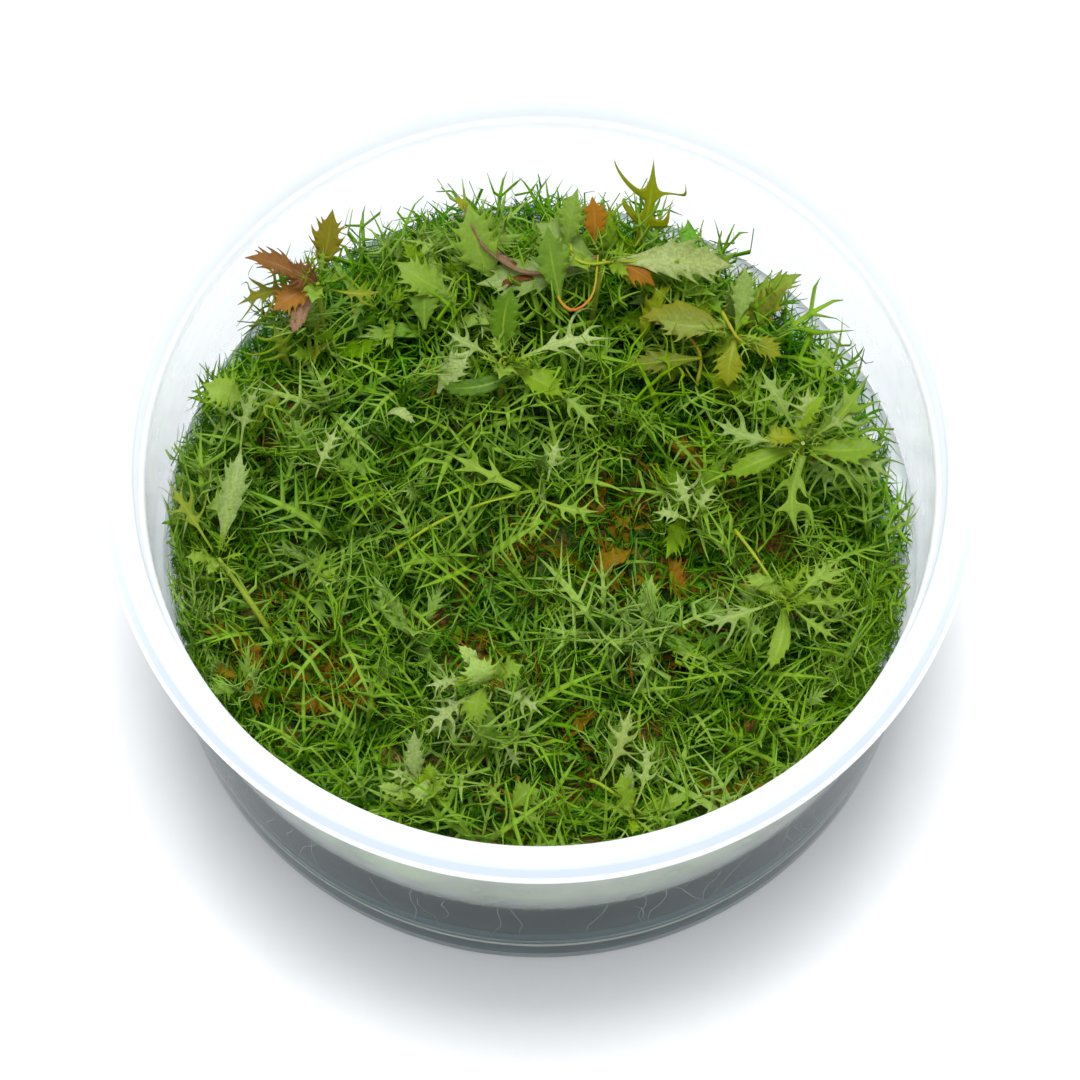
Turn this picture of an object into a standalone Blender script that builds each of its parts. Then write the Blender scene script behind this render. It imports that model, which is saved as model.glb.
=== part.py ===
# Mermaid weed grown by tissue culture: a carpet of young plantlets on clear gel,
# in the clear plastic cup that it was grown in.
# The origin is the centre of the cup's foot, on the surface that it stands on.
# +Z is up and -Y is the front. Lengths below are in millimetres.

import math
import random

import bmesh
import bpy
from mathutils import Matrix, Vector
from mathutils.bvhtree import BVHTree

MM = 0.001
GAP = 0.3

# The cup
LIP_RADIUS = 50.0
CREST_RADIUS = 47.0
CUP_HEIGHT = 48.0
WALL = 0.9
FOOT_RADIUS = 44.9
FOOT_RING_WIDTH = 6.4
PANEL_RAISE = 1.2
STEP_RADIUS = 45.35
STEP_HEIGHT = 42.3
DRAFT = 0.029
TURN_STEPS = 56

# The gel and the carpet of fine leaves
GEL_TOP = 21.5
MENISCUS = 0.4
BED_FLOOR = GEL_TOP + GAP
BED_TOP = 26.2
BED_BACK_RISE = 3.2
BED_EDGE_DROP = 1.8
BED_TUFT = 3.2
BED_JITTER = 0.22
BED_RADIUS = 44.0
BED_FOOT_RADIUS = 43.3
BED_CENTRE_RADIUS = 15.0
BED_SECTORS = ("front_right", "right", "back_right", "back_left", "left", "front_left")

# The shoots that stand out of the carpet
STEM_RADIUS = 0.5
LEAF_THICKNESS = 0.3

# Leaf outlines: stations give (place along the leaf, half width), both as parts
# of the leaf's length and of half its width. A lobe is (reach, lean) and is drawn
# out of both edges between two stations.
LEAF_FORMS = {
    "lance": {
        "stations": ((0, 0.12), (0.2, 0.5), (0.45, 1.0), (0.75, 0.7), (1, 0)),
        "lobes": (None, None, None, None),
    },
    "serrated": {
        "stations": ((0, 0.1), (0.2, 0.3), (0.4, 0.66), (0.6, 0.72), (0.8, 0.46), (1, 0)),
        "lobes": (None, (0.5, 0.06), (0.34, 0.12), (0.34, 0.12), None),
    },
    "lobed": {
        "stations": ((0, 0.09), (0.28, 0.14), (0.46, 0.3), (0.62, 0.3), (0.78, 0.2), (1, 0)),
        "lobes": (None, (0.7, 0.14), (0.72, 0.16), (0.6, 0.16), None),
    },
    "antler": {
        "stations": ((0, 0.22), (0.22, 0.2), (0.36, 0.26), (0.58, 0.22), (0.7, 0.2), (1, 0)),
        "lobes": (None, (0.8, 0.2), None, (0.8, 0.24), None),
    },
}

# Each shoot: where its stem stands, its crown, and its leaves as
# (name, form, tip, width, arch, roll in degrees, height of the leaf's root).
SHOOTS = {
    "back_left": {
        "foot": (-25.6, 23.0),
        "crown": (-26.0, 25.3, 40.0),
        "leaves": (
            ("upright", "serrated", (-24.1, 31.8, 46.4), 4.6, 0.4, 8, 40.2),
            ("rust", "serrated", (-34.4, 26.6, 44.2), 4.6, 1.0, -20, 39.6),
            ("short", "lance", (-29.0, 20.4, 36.6), 3.4, 0.5, 10, 38.6),
            ("drooping", "lobed", (-35.6, 24.2, 36.4), 7.0, 1.4, 0, 38.0),
            ("inner", "lobed", (-18.4, 25.2, 38.0), 5.0, 0.6, 0, 38.4),
        ),
    },
    "right_edge": {
        "foot": (30.6, 8.0),
        "crown": (30.4, 5.5, 38.6),
        "leaves": (
            ("lance", "lance", (21.7, 2.4, 36.4), 2.8, 0.5, 0, 37.6),
            ("left", "lobed", (19.6, 9.3, 37.4), 6.2, 0.5, 0, 37.4),
            ("back", "lobed", (25.4, 14.0, 41.0), 6.6, 0.4, 0, 38.2),
            ("top", "lance", (31.4, 9.9, 42.2), 2.6, 0.3, 0, 38.6),
            ("antler", "antler", (37.9, 12.4, 42.4), 7.0, 0.3, 0, 38.0),
            ("serrated", "serrated", (39.8, 5.0, 38.6), 4.6, 0.5, 0, 37.3),
            ("low", "lobed", (39.2, 1.0, 35.6), 6.0, 0.6, 0, 36.8),
            ("front", "antler", (30.0, -4.6, 34.0), 6.6, 0.6, 0, 37.4),
        ),
    },
    "front_left": {
        "foot": (-5.2, -20.8),
        "crown": (-6.1, -21.9, 33.6),
        "leaves": (
            ("left", "lobed", (-13.3, -22.6, 33.4), 5.0, 0.4, 0, 33.2),
            ("low", "lobed", (-13.0, -27.8, 31.2), 6.0, 0.4, 0, 32.2),
            ("blade", "serrated", (-6.4, -30.0, 32.4), 3.6, 0.5, 20, 32.8),
            ("right", "lobed", (0.4, -25.9, 32.6), 5.0, 0.4, 0, 32.8),
            ("curled", "lance", (-9.4, -18.6, 36.2), 3.2, 0.9, 0, 33.6),
        ),
    },
    "back_centre": {
        "foot": (6.0, 25.0),
        "crown": (7.5, 28.6, 39.4),
        "leaves": (
            ("striped", "serrated", (23.0, 28.6, 37.6), 6.0, 0.8, -14, 38.8),
            ("broad", "serrated", (-0.6, 33.0, 40.4), 6.6, 0.5, 0, 38.2),
            ("silver", "serrated", (-7.6, 26.4, 37.4), 5.4, 0.5, 0, 37.2),
            ("crescent", "lance", (-9.0, 33.9, 43.4), 2.2, 1.6, 60, 39.4),
        ),
    },
    "middle": {
        "foot": (-5.0, 14.0),
        "crown": (-4.1, 16.6, 36.6),
        "leaves": (
            ("upright", "serrated", (-3.2, 24.4, 41.2), 4.6, 0.4, 0, 36.6),
            ("silver", "lobed", (8.4, 19.4, 37.4), 6.4, 0.4, 0, 36.4),
            ("bright", "serrated", (2.8, 12.8, 35.4), 4.6, 0.4, 0, 36.0),
            ("back", "lobed", (-11.4, 20.6, 37.6), 5.0, 0.4, 0, 36.2),
        ),
    },
    "back_right": {
        "foot": (21.6, 17.6),
        "crown": (22.8, 20.0, 37.6),
        "leaves": (
            ("upright", "serrated", (23.9, 26.4, 42.4), 3.6, 0.3, 0, 37.8),
            ("long", "lance", (11.8, 22.5, 36.6), 3.8, 0.6, 0, 37.2),
            ("low", "serrated", (28.4, 17.6, 36.0), 3.6, 0.4, 0, 37.0),
        ),
    },
    "left": {
        "foot": (-29.0, -16.3),
        "crown": (-37.2, -6.8, 33.6),
        "leaves": (
            ("tall", "lobed", (-43.2, 1.8, 36.8), 4.6, 0.5, 0, 33.4),
            ("back", "serrated", (-34.6, 5.6, 37.2), 4.0, 0.6, 0, 33.6),
        ),
    },
    "front_edge": {
        "foot": (-13.0, -33.4),
        "crown": (-13.6, -35.2, 31.6),
        "leaves": (
            ("upright", "serrated", (-14.2, -28.8, 36.4), 2.8, 0.3, 0, 31.6),
            ("curled", "lance", (-18.4, -34.6, 33.4), 3.4, 0.6, 0, 31.2),
        ),
    },
    "front": {
        "foot": (5.0, -33.0),
        "crown": (10.6, -37.6, 31.4),
        "leaves": (
            ("pale", "lobed", (11.6, -28.8, 34.6), 4.6, 0.5, 0, 31.6),
            ("side", "lance", (17.0, -35.2, 32.4), 1.8, 0.4, 0, 31.2),
        ),
    },
    "front_right": {
        "foot": (22.2, -6.4),
        "crown": (28.2, -12.2, 34.6),
        "leaves": (
            ("left", "lobed", (18.4, -15.6, 34.0), 6.0, 0.4, 0, 34.2),
            ("right", "lobed", (36.0, -9.0, 36.4), 5.0, 0.4, 0, 34.4),
            ("low", "lobed", (34.4, -16.6, 32.6), 4.6, 0.4, 0, 33.6),
            ("front", "lance", (26.4, -20.4, 33.0), 2.4, 0.4, 0, 33.8),
        ),
    },
}

# The tall leaf at the back stands in the carpet by itself.
ANTLER_ROOT = (11.6, 33.2, 33.4)
ANTLER_TIP = (13.4, 40.6, 42.0)
ANTLER_WIDTH = 7.4

LEAF_GREEN = (0.16, 0.36, 0.03, 1.0)
SILVER_GREEN = (0.3, 0.42, 0.2, 1.0)
OLIVE = (0.22, 0.24, 0.05, 1.0)
RUST = (0.4, 0.16, 0.05, 1.0)
STEM_YELLOW = (0.36, 0.4, 0.08, 1.0)
GEL_GREY = (0.36, 0.43, 0.47, 1.0)
CUP_WHITE = (0.92, 0.94, 0.95, 1.0)
LEAF_COLOURS = {
    "rust": RUST,
    "short": RUST,
    "crescent": RUST,
    "drooping": OLIVE,
    "upright": OLIVE,
    "inner": OLIVE,
    "left": SILVER_GREEN,
    "back": SILVER_GREEN,
    "silver": SILVER_GREEN,
    "striped": SILVER_GREEN,
    "pale": SILVER_GREEN,
}


def clear_scene():
    for obj in list(bpy.data.objects):
        bpy.data.objects.remove(obj, do_unlink=True)


def make_collection(name):
    collection = bpy.data.collections.new(name)
    bpy.context.scene.collection.children.link(collection)
    return collection


def make_material(name, colour, roughness, transmission=0.0, ior=1.45):
    found = bpy.data.materials.get(name)
    if found:
        return found
    material = bpy.data.materials.new(name)
    material.use_nodes = True
    shader = material.node_tree.nodes["Principled BSDF"]
    shader.inputs["Base Color"].default_value = colour
    shader.inputs["Roughness"].default_value = roughness
    shader.inputs["Metallic"].default_value = 0.0
    shader.inputs["Transmission Weight"].default_value = transmission
    shader.inputs["IOR"].default_value = ior
    return material


def add_object(name, data, collection, material):
    obj = bpy.data.objects.new(name, data)
    obj.data.materials.append(material)
    collection.objects.link(obj)
    return obj


def turned(name, profile, collection, material):
    """A solid turned about Z from (radius, height) points, outer side first, top to bottom."""
    bm = bmesh.new()
    points = [bm.verts.new((r * MM, 0, z * MM)) for r, z in profile]
    for first, second in zip(points, points[1:]):
        bm.edges.new((first, second))
    if profile[-1][0] > 0:
        bm.edges.new((points[-1], points[0]))
    mesh = bpy.data.meshes.new(name)
    bm.to_mesh(mesh)
    bm.free()
    obj = add_object(name, mesh, collection, material)
    screw = obj.modifiers.new("turn", "SCREW")
    screw.steps = TURN_STEPS
    screw.render_steps = TURN_STEPS
    screw.use_merge_vertices = True
    screw.merge_threshold = 0.00001
    screw.use_smooth_shade = True
    return obj


def wall_inner_radius(height):
    return FOOT_RADIUS - WALL + DRAFT * height


def make_cup(collection):
    """A thin wall with a rolled rim, a small ledge under it, and a foot ring under a raised panel."""
    ring_inner = FOOT_RADIUS - 0.9 - FOOT_RING_WIDTH
    under_rim = STEP_RADIUS + WALL
    skirt = CUP_HEIGHT - 3.4
    outer = [
        (CREST_RADIUS, CUP_HEIGHT),
        (CREST_RADIUS + 0.8, CUP_HEIGHT - 0.4),
        (LIP_RADIUS - 0.4, skirt + 0.9),
        (LIP_RADIUS, skirt + 0.4),
        (LIP_RADIUS - 0.1, skirt),
        (LIP_RADIUS - 0.8, skirt + 0.2),
        (CREST_RADIUS + 0.5, CUP_HEIGHT - 1.8),
        (under_rim + 0.1, STEP_HEIGHT + 1.6),
        (under_rim - 0.05, STEP_HEIGHT - 1.0),
        (FOOT_RADIUS + DRAFT * 1.2, 1.2),
        (FOOT_RADIUS - 0.25, 0.35),
        (FOOT_RADIUS - 0.9, 0.0),
        (ring_inner, 0.0),
        (ring_inner - 0.9, PANEL_RAISE),
        (0.0, PANEL_RAISE),
    ]
    inner = [
        (0.0, PANEL_RAISE + WALL),
        (ring_inner - 1.3, PANEL_RAISE + WALL),
        (ring_inner - 0.2, WALL),
        (FOOT_RADIUS - WALL - 0.7, WALL),
        (wall_inner_radius(1.7), 1.7),
        (wall_inner_radius(STEP_HEIGHT - 1.0), STEP_HEIGHT - 1.0),
        (STEP_RADIUS, STEP_HEIGHT),
        (STEP_RADIUS + 0.5, STEP_HEIGHT + 0.4),
        (CREST_RADIUS - 0.6, CUP_HEIGHT - 0.7),
    ]
    material = make_material("cup_plastic", CUP_WHITE, 0.25, transmission=0.8, ior=1.49)
    return turned("cup", outer + inner + [outer[0]], collection, material)


def make_gel(collection):
    """The set gel: it follows the cup's floor and creeps a little way up the wall."""
    ring_inner = FOOT_RADIUS - 0.9 - FOOT_RING_WIDTH
    floor = WALL + GAP
    edge = wall_inner_radius(GEL_TOP) - GAP
    profile = [
        (0.0, GEL_TOP),
        (edge - 0.8, GEL_TOP),
        (edge, GEL_TOP + MENISCUS),
        (wall_inner_radius(2.4) - GAP, 2.4),
        (FOOT_RADIUS - WALL - 1.0, floor),
        (ring_inner - 0.1, floor),
        (ring_inner - 1.3, PANEL_RAISE + floor),
        (0.0, PANEL_RAISE + floor),
    ]
    material = make_material("gel", GEL_GREY, 0.05, transmission=0.9, ior=1.34)
    return turned("gel", profile, collection, material)


def bed_height(x, y):
    """The carpet's height without its tufts: lumpy, higher at the back, lower at the wall."""
    back = min(max((y + 10.0) / 40.0, 0.0), 1.0)
    edge = min(max((math.hypot(x, y) - 36.0) / 8.0, 0.0), 1.0)
    lumps = 0.8 * math.sin(x / 5.3 + 1.1) * math.cos(y / 4.7 - 0.6)
    lumps += 0.5 * math.sin(x / 2.9 - y / 3.7)
    return BED_TOP + BED_BACK_RISE * back - BED_EDGE_DROP * edge + lumps


def swirl(x, y):
    """Bends the joints between the beds so that they don't run straight."""
    radius = math.hypot(x, y)
    fade = math.sin(math.pi * min(radius / BED_RADIUS, 1.0))
    turn = 0.13 * fade * math.sin(radius / 4.5 + 2.0 * math.atan2(y, x))
    return (
        x * math.cos(turn) - y * math.sin(turn),
        x * math.sin(turn) + y * math.cos(turn),
    )


def sideways(vert, rng):
    """A random move in plan that is too small to fold the faces round a point."""
    room = BED_JITTER * min(edge.calc_length() for edge in vert.link_edges)
    return Vector((rng.uniform(-room, room), rng.uniform(-room, room), 0.0))


def make_bed(name, place, across, along, collection, material, rng):
    """One clump of the carpet: a tufted top over a flat foot on the gel.

    place turns a square's (u, v), each from -1 to 1, into the clump's (x, y) in plan.
    """
    bm = bmesh.new()
    bmesh.ops.create_grid(bm, x_segments=across, y_segments=along, size=1.0)
    for vert in bm.verts:
        x, y = swirl(*place(vert.co.x, vert.co.y))
        vert.co = Vector((x, y, bed_height(x, y) + rng.uniform(-1.2, 0.3)))
    for vert in bm.verts:
        if not vert.is_boundary:
            vert.co += sideways(vert, rng)
    poked = bmesh.ops.poke(bm, faces=list(bm.faces))
    for vert in poked["verts"]:
        vert.co += sideways(vert, rng)
        lift = BED_TUFT * rng.uniform(0.45, 1.0)
        vert.co.z += lift
    rim = [edge for edge in bm.edges if edge.is_boundary]
    skirt = bmesh.ops.extrude_edge_only(bm, edges=rim)["geom"]
    foot = [item for item in skirt if isinstance(item, bmesh.types.BMVert)]
    for vert in foot:
        radius = math.hypot(vert.co.x, vert.co.y)
        inward = min(1.0, BED_FOOT_RADIUS / max(radius, 0.001))
        vert.co = Vector((vert.co.x * inward, vert.co.y * inward, BED_FLOOR))
    loop = [item for item in skirt if isinstance(item, bmesh.types.BMEdge)]
    bmesh.ops.edgeloop_fill(bm, edges=[edge for edge in loop if edge.is_boundary])
    bmesh.ops.recalc_face_normals(bm, faces=list(bm.faces))
    bmesh.ops.scale(bm, vec=(MM, MM, MM), verts=list(bm.verts))
    mesh = bpy.data.meshes.new(name)
    bm.to_mesh(mesh)
    bm.free()
    return add_object(name, mesh, collection, material)


def make_beds(collection):
    material = make_material("leaf_carpet", LEAF_GREEN, 0.5)
    rng = random.Random(7)

    def centre_place(u, v):
        radius = BED_CENTRE_RADIUS
        return (
            radius * u * math.sqrt(1.0 - v * v / 2.0),
            radius * v * math.sqrt(1.0 - u * u / 2.0),
        )

    beds = [make_bed("leaf_bed_centre", centre_place, 8, 8, collection, material, rng)]
    count = len(BED_SECTORS)
    inner = BED_CENTRE_RADIUS + GAP
    for index, where in enumerate(BED_SECTORS):
        middle = math.radians(-60.0 + 360.0 / count * index)

        def sector_place(u, v, middle=middle):
            radius = inner + (BED_RADIUS - inner) * (u + 1.0) / 2.0
            half = math.pi / count - 0.5 * GAP / radius
            angle = middle + v * half
            return radius * math.cos(angle), radius * math.sin(angle)

        name = "leaf_bed_" + where
        beds.append(make_bed(name, sector_place, 7, 11, collection, material, rng))
    return beds


def surface_below(beds, x, y):
    """The height of the carpet at one place in plan."""
    heights = []
    for bed in beds:
        tree = BVHTree.FromObject(bed, bpy.context.evaluated_depsgraph_get())
        hit = tree.ray_cast(Vector((x * MM, y * MM, 0.1)), Vector((0, 0, -1)))[0]
        if hit:
            heights.append(hit.z / MM)
    return max(heights, default=BED_FLOOR)


def make_stem(name, foot, crown, collection):
    """A round stem from just above the carpet to the crown, bending as it rises."""
    middle = (foot + crown) / 2.0 + Vector((0.0, 0.0, 0.25 * (crown - foot).length))
    middle = foot.lerp(middle, 0.8)
    curve = bpy.data.curves.new(name, "CURVE")
    curve.dimensions = "3D"
    curve.bevel_depth = STEM_RADIUS * MM
    curve.bevel_resolution = 1
    curve.use_fill_caps = True
    spline = curve.splines.new("POLY")
    spline.points.add(3)
    route = (foot, foot.lerp(middle, 0.6), middle.lerp(crown, 0.4), crown)
    for point, place in zip(spline.points, route):
        point.co = (*(place * MM), 1.0)
    return add_object(name, curve, collection, make_material("stem", STEM_YELLOW, 0.45))


def make_leaf(name, form, root, tip, width, arch, roll, collection, colour):
    """A thin leaf from root to tip: a tapering strip with pointed lobes, arched and rolled."""
    stations = LEAF_FORMS[form]["stations"]
    lobes = LEAF_FORMS[form]["lobes"]
    rows = len(stations) - 1
    bm = bmesh.new()
    bmesh.ops.create_grid(bm, x_segments=1, y_segments=rows, size=1.0)
    for vert in bm.verts:
        row = round((vert.co.y + 1.0) / 2.0 * rows)
        side = 1.0 if vert.co.x > 0.0 else -1.0
        vert.co = Vector((side * stations[row][1], stations[row][0], 0.0))
    for row, lobe in enumerate(lobes):
        if lobe is None:
            continue
        low, high = stations[row][0], stations[row + 1][0]
        for side in (-1.0, 1.0):
            edge = next(
                e
                for e in bm.edges
                if e.is_boundary
                and all(v.co.x * side > 0.0 for v in e.verts)
                and abs(min(v.co.y for v in e.verts) - low) < 1e-4
                and abs(max(v.co.y for v in e.verts) - high) < 1e-4
            )
            drawn = bmesh.ops.extrude_edge_only(bm, edges=[edge])["geom"]
            points = [item for item in drawn if isinstance(item, bmesh.types.BMVert)]
            reach = side * (stations[row][1] + lobe[0])
            place = Vector((reach, (low + high) / 2.0 + lobe[1], 0.0))
            bmesh.ops.pointmerge(bm, verts=points, merge_co=place)
    ends = [vert for vert in bm.verts if vert.co.y > 0.999 and abs(vert.co.x) < 1e-4]
    bmesh.ops.pointmerge(bm, verts=ends, merge_co=Vector((0.0, 1.0, 0.0)))
    bmesh.ops.recalc_face_normals(bm, faces=list(bm.faces))

    along = (tip - root).normalized()
    side_way = along.cross(Vector((0.0, 0.0, 1.0))).normalized()
    side_way = Matrix.Rotation(math.radians(roll), 3, along) @ side_way
    face_way = side_way.cross(along)
    for vert in bm.verts:
        part, half = min(vert.co.y, 1.15), vert.co.x
        bow = 4.0 * part * (1.0 - part) * arch
        place = root + (tip - root) * part + face_way * bow + side_way * (half * width / 2.0)
        vert.co = place * MM
    mesh = bpy.data.meshes.new(name)
    bm.to_mesh(mesh)
    bm.free()
    obj = add_object(name, mesh, collection, make_material("leaf_" + name, colour, 0.45))
    shell = obj.modifiers.new("thickness", "SOLIDIFY")
    shell.thickness = LEAF_THICKNESS * MM
    shell.offset = 0.0
    return obj


def make_shoots(collection, beds):
    reach = STEM_RADIUS + GAP + 0.25
    for shoot, plan in SHOOTS.items():
        crown = Vector(plan["crown"])
        x, y = plan["foot"]
        around = ((0, 0), (STEM_RADIUS, 0), (-STEM_RADIUS, 0), (0, STEM_RADIUS), (0, -STEM_RADIUS))
        ground = max(surface_below(beds, x + dx, y + dy) for dx, dy in around)
        foot = Vector((x, y, ground + GAP + STEM_RADIUS))
        make_stem("stem_" + shoot, foot, crown, collection)
        for name, form, tip, width, arch, roll, root_height in plan["leaves"]:
            tip = Vector(tip)
            outward = (Vector((tip.x, tip.y, 0.0)) - Vector((crown.x, crown.y, 0.0))).normalized()
            root = Vector((crown.x, crown.y, root_height)) + outward * reach
            colour = LEAF_COLOURS.get(name, LEAF_GREEN)
            full = "leaf_" + shoot + "_" + name
            make_leaf(full, form, root, tip, width, arch, roll, collection, colour)
    make_leaf(
        "leaf_tall_antler", "antler", Vector(ANTLER_ROOT), Vector(ANTLER_TIP),
        ANTLER_WIDTH, 0.3, 0.0, collection, STEM_YELLOW,
    )


def main():
    clear_scene()
    parts = make_collection("tissue_culture_mermaid_weed")
    make_cup(parts)
    make_gel(parts)
    beds = make_beds(parts)
    bpy.context.view_layer.update()
    make_shoots(parts, beds)


main()
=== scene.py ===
import math

import bmesh
import bpy
import numpy as np
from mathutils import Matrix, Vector


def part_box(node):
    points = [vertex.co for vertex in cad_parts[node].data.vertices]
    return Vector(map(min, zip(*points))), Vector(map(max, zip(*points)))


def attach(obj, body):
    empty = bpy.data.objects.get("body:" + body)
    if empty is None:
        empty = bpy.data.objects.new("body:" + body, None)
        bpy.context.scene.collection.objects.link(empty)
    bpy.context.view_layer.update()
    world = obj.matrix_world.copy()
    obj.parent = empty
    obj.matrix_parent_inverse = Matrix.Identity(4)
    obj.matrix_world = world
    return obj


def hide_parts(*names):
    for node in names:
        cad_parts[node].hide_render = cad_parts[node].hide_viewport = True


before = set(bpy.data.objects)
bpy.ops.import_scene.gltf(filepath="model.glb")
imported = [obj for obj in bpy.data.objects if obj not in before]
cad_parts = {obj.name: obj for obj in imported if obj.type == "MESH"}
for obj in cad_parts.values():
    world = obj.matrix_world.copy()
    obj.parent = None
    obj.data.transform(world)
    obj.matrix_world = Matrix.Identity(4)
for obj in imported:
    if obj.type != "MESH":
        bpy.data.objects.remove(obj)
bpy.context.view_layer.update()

mm = 0.001
rng = np.random.default_rng(12)


# small helpers
class Value:
    # wraps a shader socket, so that sums on sockets add their Math nodes
    def __init__(self, tree, socket):
        self.tree = tree
        self.socket = socket

    def node(self, kind, settings=None, sockets=None, out=0):
        made = self.tree.nodes.new(kind)
        for key, what in (settings or {}).items():
            setattr(made, key, what)
        for key, what in (sockets or {}).items():
            if isinstance(what, Value):
                self.tree.links.new(what.socket, made.inputs[key])
            else:
                made.inputs[key].default_value = what
        return Value(self.tree, made.outputs[out])

    def maths(self, operation, other=None, turned=False):
        first, second = (other, self) if turned else (self, other)
        sockets = {0: first} if second is None else {0: first, 1: second}
        return self.node("ShaderNodeMath", {"operation": operation}, sockets)

    def __add__(self, other):
        return self.maths("ADD", other)

    def __sub__(self, other):
        return self.maths("SUBTRACT", other)

    def __mul__(self, other):
        return self.maths("MULTIPLY", other)

    def __radd__(self, other):
        return self.maths("ADD", other, True)

    def __rsub__(self, other):
        return self.maths("SUBTRACT", other, True)

    def __rmul__(self, other):
        return self.maths("MULTIPLY", other, True)

    def clamped(self):
        return self.node("ShaderNodeClamp", None, {0: self})

    def ramp(self, low, high, start=0.0, end=1.0):
        # a soft step: start below low, end above high
        sockets = {0: self, 1: low, 2: high, 3: start, 4: end}
        return self.node("ShaderNodeMapRange", {"interpolation_type": "SMOOTHSTEP"}, sockets)

    def axis(self, index):
        # 0, 1 or 2 for x, y or z of a vector
        return self.node("ShaderNodeSeparateXYZ", None, {0: self}, index)

    def reach(self):
        return self.node("ShaderNodeVectorMath", {"operation": "LENGTH"}, {0: self}, 1)

    def noise(self, scale, detail=2.0):
        sockets = {"Vector": self, "Scale": scale, "Detail": detail}
        return self.node("ShaderNodeTexNoise", None, sockets)

    def mixed(self, first, second, blend="MIX"):
        # this value is the factor between two colours
        settings = {"data_type": "RGBA", "blend_type": blend, "clamp_factor": True}
        return self.node("ShaderNodeMix", settings, {0: self, 6: first, 7: second}, 2)


def newMaterial(name):
    material = bpy.data.materials.new(name)
    material.use_nodes = True
    tree = material.node_tree
    for node in list(tree.nodes):
        if node.type == "BSDF_PRINCIPLED":
            tree.nodes.remove(node)
    kit = Value(tree, None)
    return material, kit, kit.node("ShaderNodeTexCoord", out=3)


def rgb(red, green, blue):
    return (red, green, blue, 1.0)


def finishMaterial(material, surface, volume=None):
    tree = material.node_tree
    output = next(node for node in tree.nodes if node.type == "OUTPUT_MATERIAL")
    tree.links.new(surface.socket, output.inputs["Surface"])
    if volume:
        tree.links.new(volume.socket, output.inputs["Volume"])
    return material


def place(piece, material, slot, *nodes):
    # gives a finished piece its finish and its place in the frame
    piece.data.materials.clear()
    piece.data.materials.append(material)
    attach(piece, "root")
    if nodes:
        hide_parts(*nodes)
    return piece


def deselect():
    if bpy.context.object and bpy.context.object.mode != "OBJECT":
        bpy.ops.object.mode_set(mode="OBJECT")
    bpy.ops.object.select_all(action="DESELECT")


def editOn(kind="VERT"):
    bpy.ops.object.mode_set(mode="EDIT")
    bpy.ops.mesh.select_mode(type=kind)


def pick(kind, test):
    # selects vertices, edges or faces of the piece in edit mode by a test on each
    bpy.ops.mesh.select_all(action="DESELECT")
    mesh = bpy.context.object.data
    bm = bmesh.from_edit_mesh(mesh)
    for item in getattr(bm, kind):
        if test(item):
            item.select_set(True)
    bm.select_flush_mode()
    bmesh.update_edit_mesh(mesh)


def applyModifiers(piece):
    bpy.context.view_layer.objects.active = piece
    for modifier in list(piece.modifiers):
        bpy.ops.object.modifier_apply(modifier=modifier.name)


def startRing(name, vertices, radius, height, fill="NOTHING"):
    # a circle in millimetres, open for editing
    deselect()
    bpy.ops.mesh.primitive_circle_add(
        vertices=vertices, radius=radius * mm, fill_type=fill, location=(0, 0, height * mm))
    piece = bpy.context.object
    piece.name = piece.data.name = name
    bpy.ops.object.transform_apply(location=True, rotation=True, scale=True)
    editOn("EDGE")
    return piece


def faceOutwards():
    bpy.ops.mesh.select_all(action="SELECT")
    bpy.ops.mesh.normals_make_consistent(inside=False)
    bpy.ops.object.mode_set(mode="OBJECT")


cornerCut = {"share": 0.3, "most": 0.5}  # of the shorter side, and in millimetres


def softened(points):
    # cuts each corner of a profile once
    soft = [points[0]]
    for before, corner, after in zip(points, points[1:], points[2:]):
        toBefore = math.dist(corner, before)
        toAfter = math.dist(corner, after)
        cut = min(cornerCut["share"] * min(toBefore, toAfter), cornerCut["most"])
        a = [c + (b - c) * cut / toBefore for b, c in zip(before, corner)]
        b = [c + (d - c) * cut / toAfter for d, c in zip(after, corner)]
        middle = [(2 * c + p + q) / 4 for c, p, q in zip(corner, a, b)]
        soft += [tuple(a), tuple(middle), tuple(b)]
    return soft + [points[-1]]


def drawRings(profile, start):
    # pulls the selected ring on from point to point of a profile
    radius, height = start
    for nextRadius, nextHeight in profile:
        lift = (0, 0, (nextHeight - height) * mm)
        bpy.ops.mesh.extrude_region_move(TRANSFORM_OT_translate={"value": lift})
        if nextRadius > 0:
            size = nextRadius / radius
            bpy.ops.transform.resize(value=(size, size, 1), center_override=(0, 0, 0))
        else:
            bpy.ops.mesh.merge(type="CENTER")
            return
        radius, height = nextRadius, nextHeight


# the cup
cup = {
    "lipRadius": 50.0,
    "crestRadius": 47.0,
    "height": 48.0,
    "wall": 0.9,
    "footRadius": 44.9,
    "footRing": 6.4,
    "footEdge": 0.9,
    "panelRaise": 1.2,
    "stepRadius": 45.35,
    "stepHeight": 42.3,
    "draft": 0.029,
    "segments": 192,
    "wallBottom": 1.7,
    "smoothAngle": 40,
}
# wallGap is below 0 where the gel runs a little into the wall. depth is how dark it is.
gel = {
    "top": 21.5, "meniscus": 0.45, "wallGap": -0.05, "rings": 26, "segments": 144,
    "unevenness": 0.28, "tint": rgb(0.27, 0.62, 0.62), "depth": 36.0,
}


def wallInside(height):
    return cup["footRadius"] - cup["wall"] + cup["draft"] * height


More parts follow.
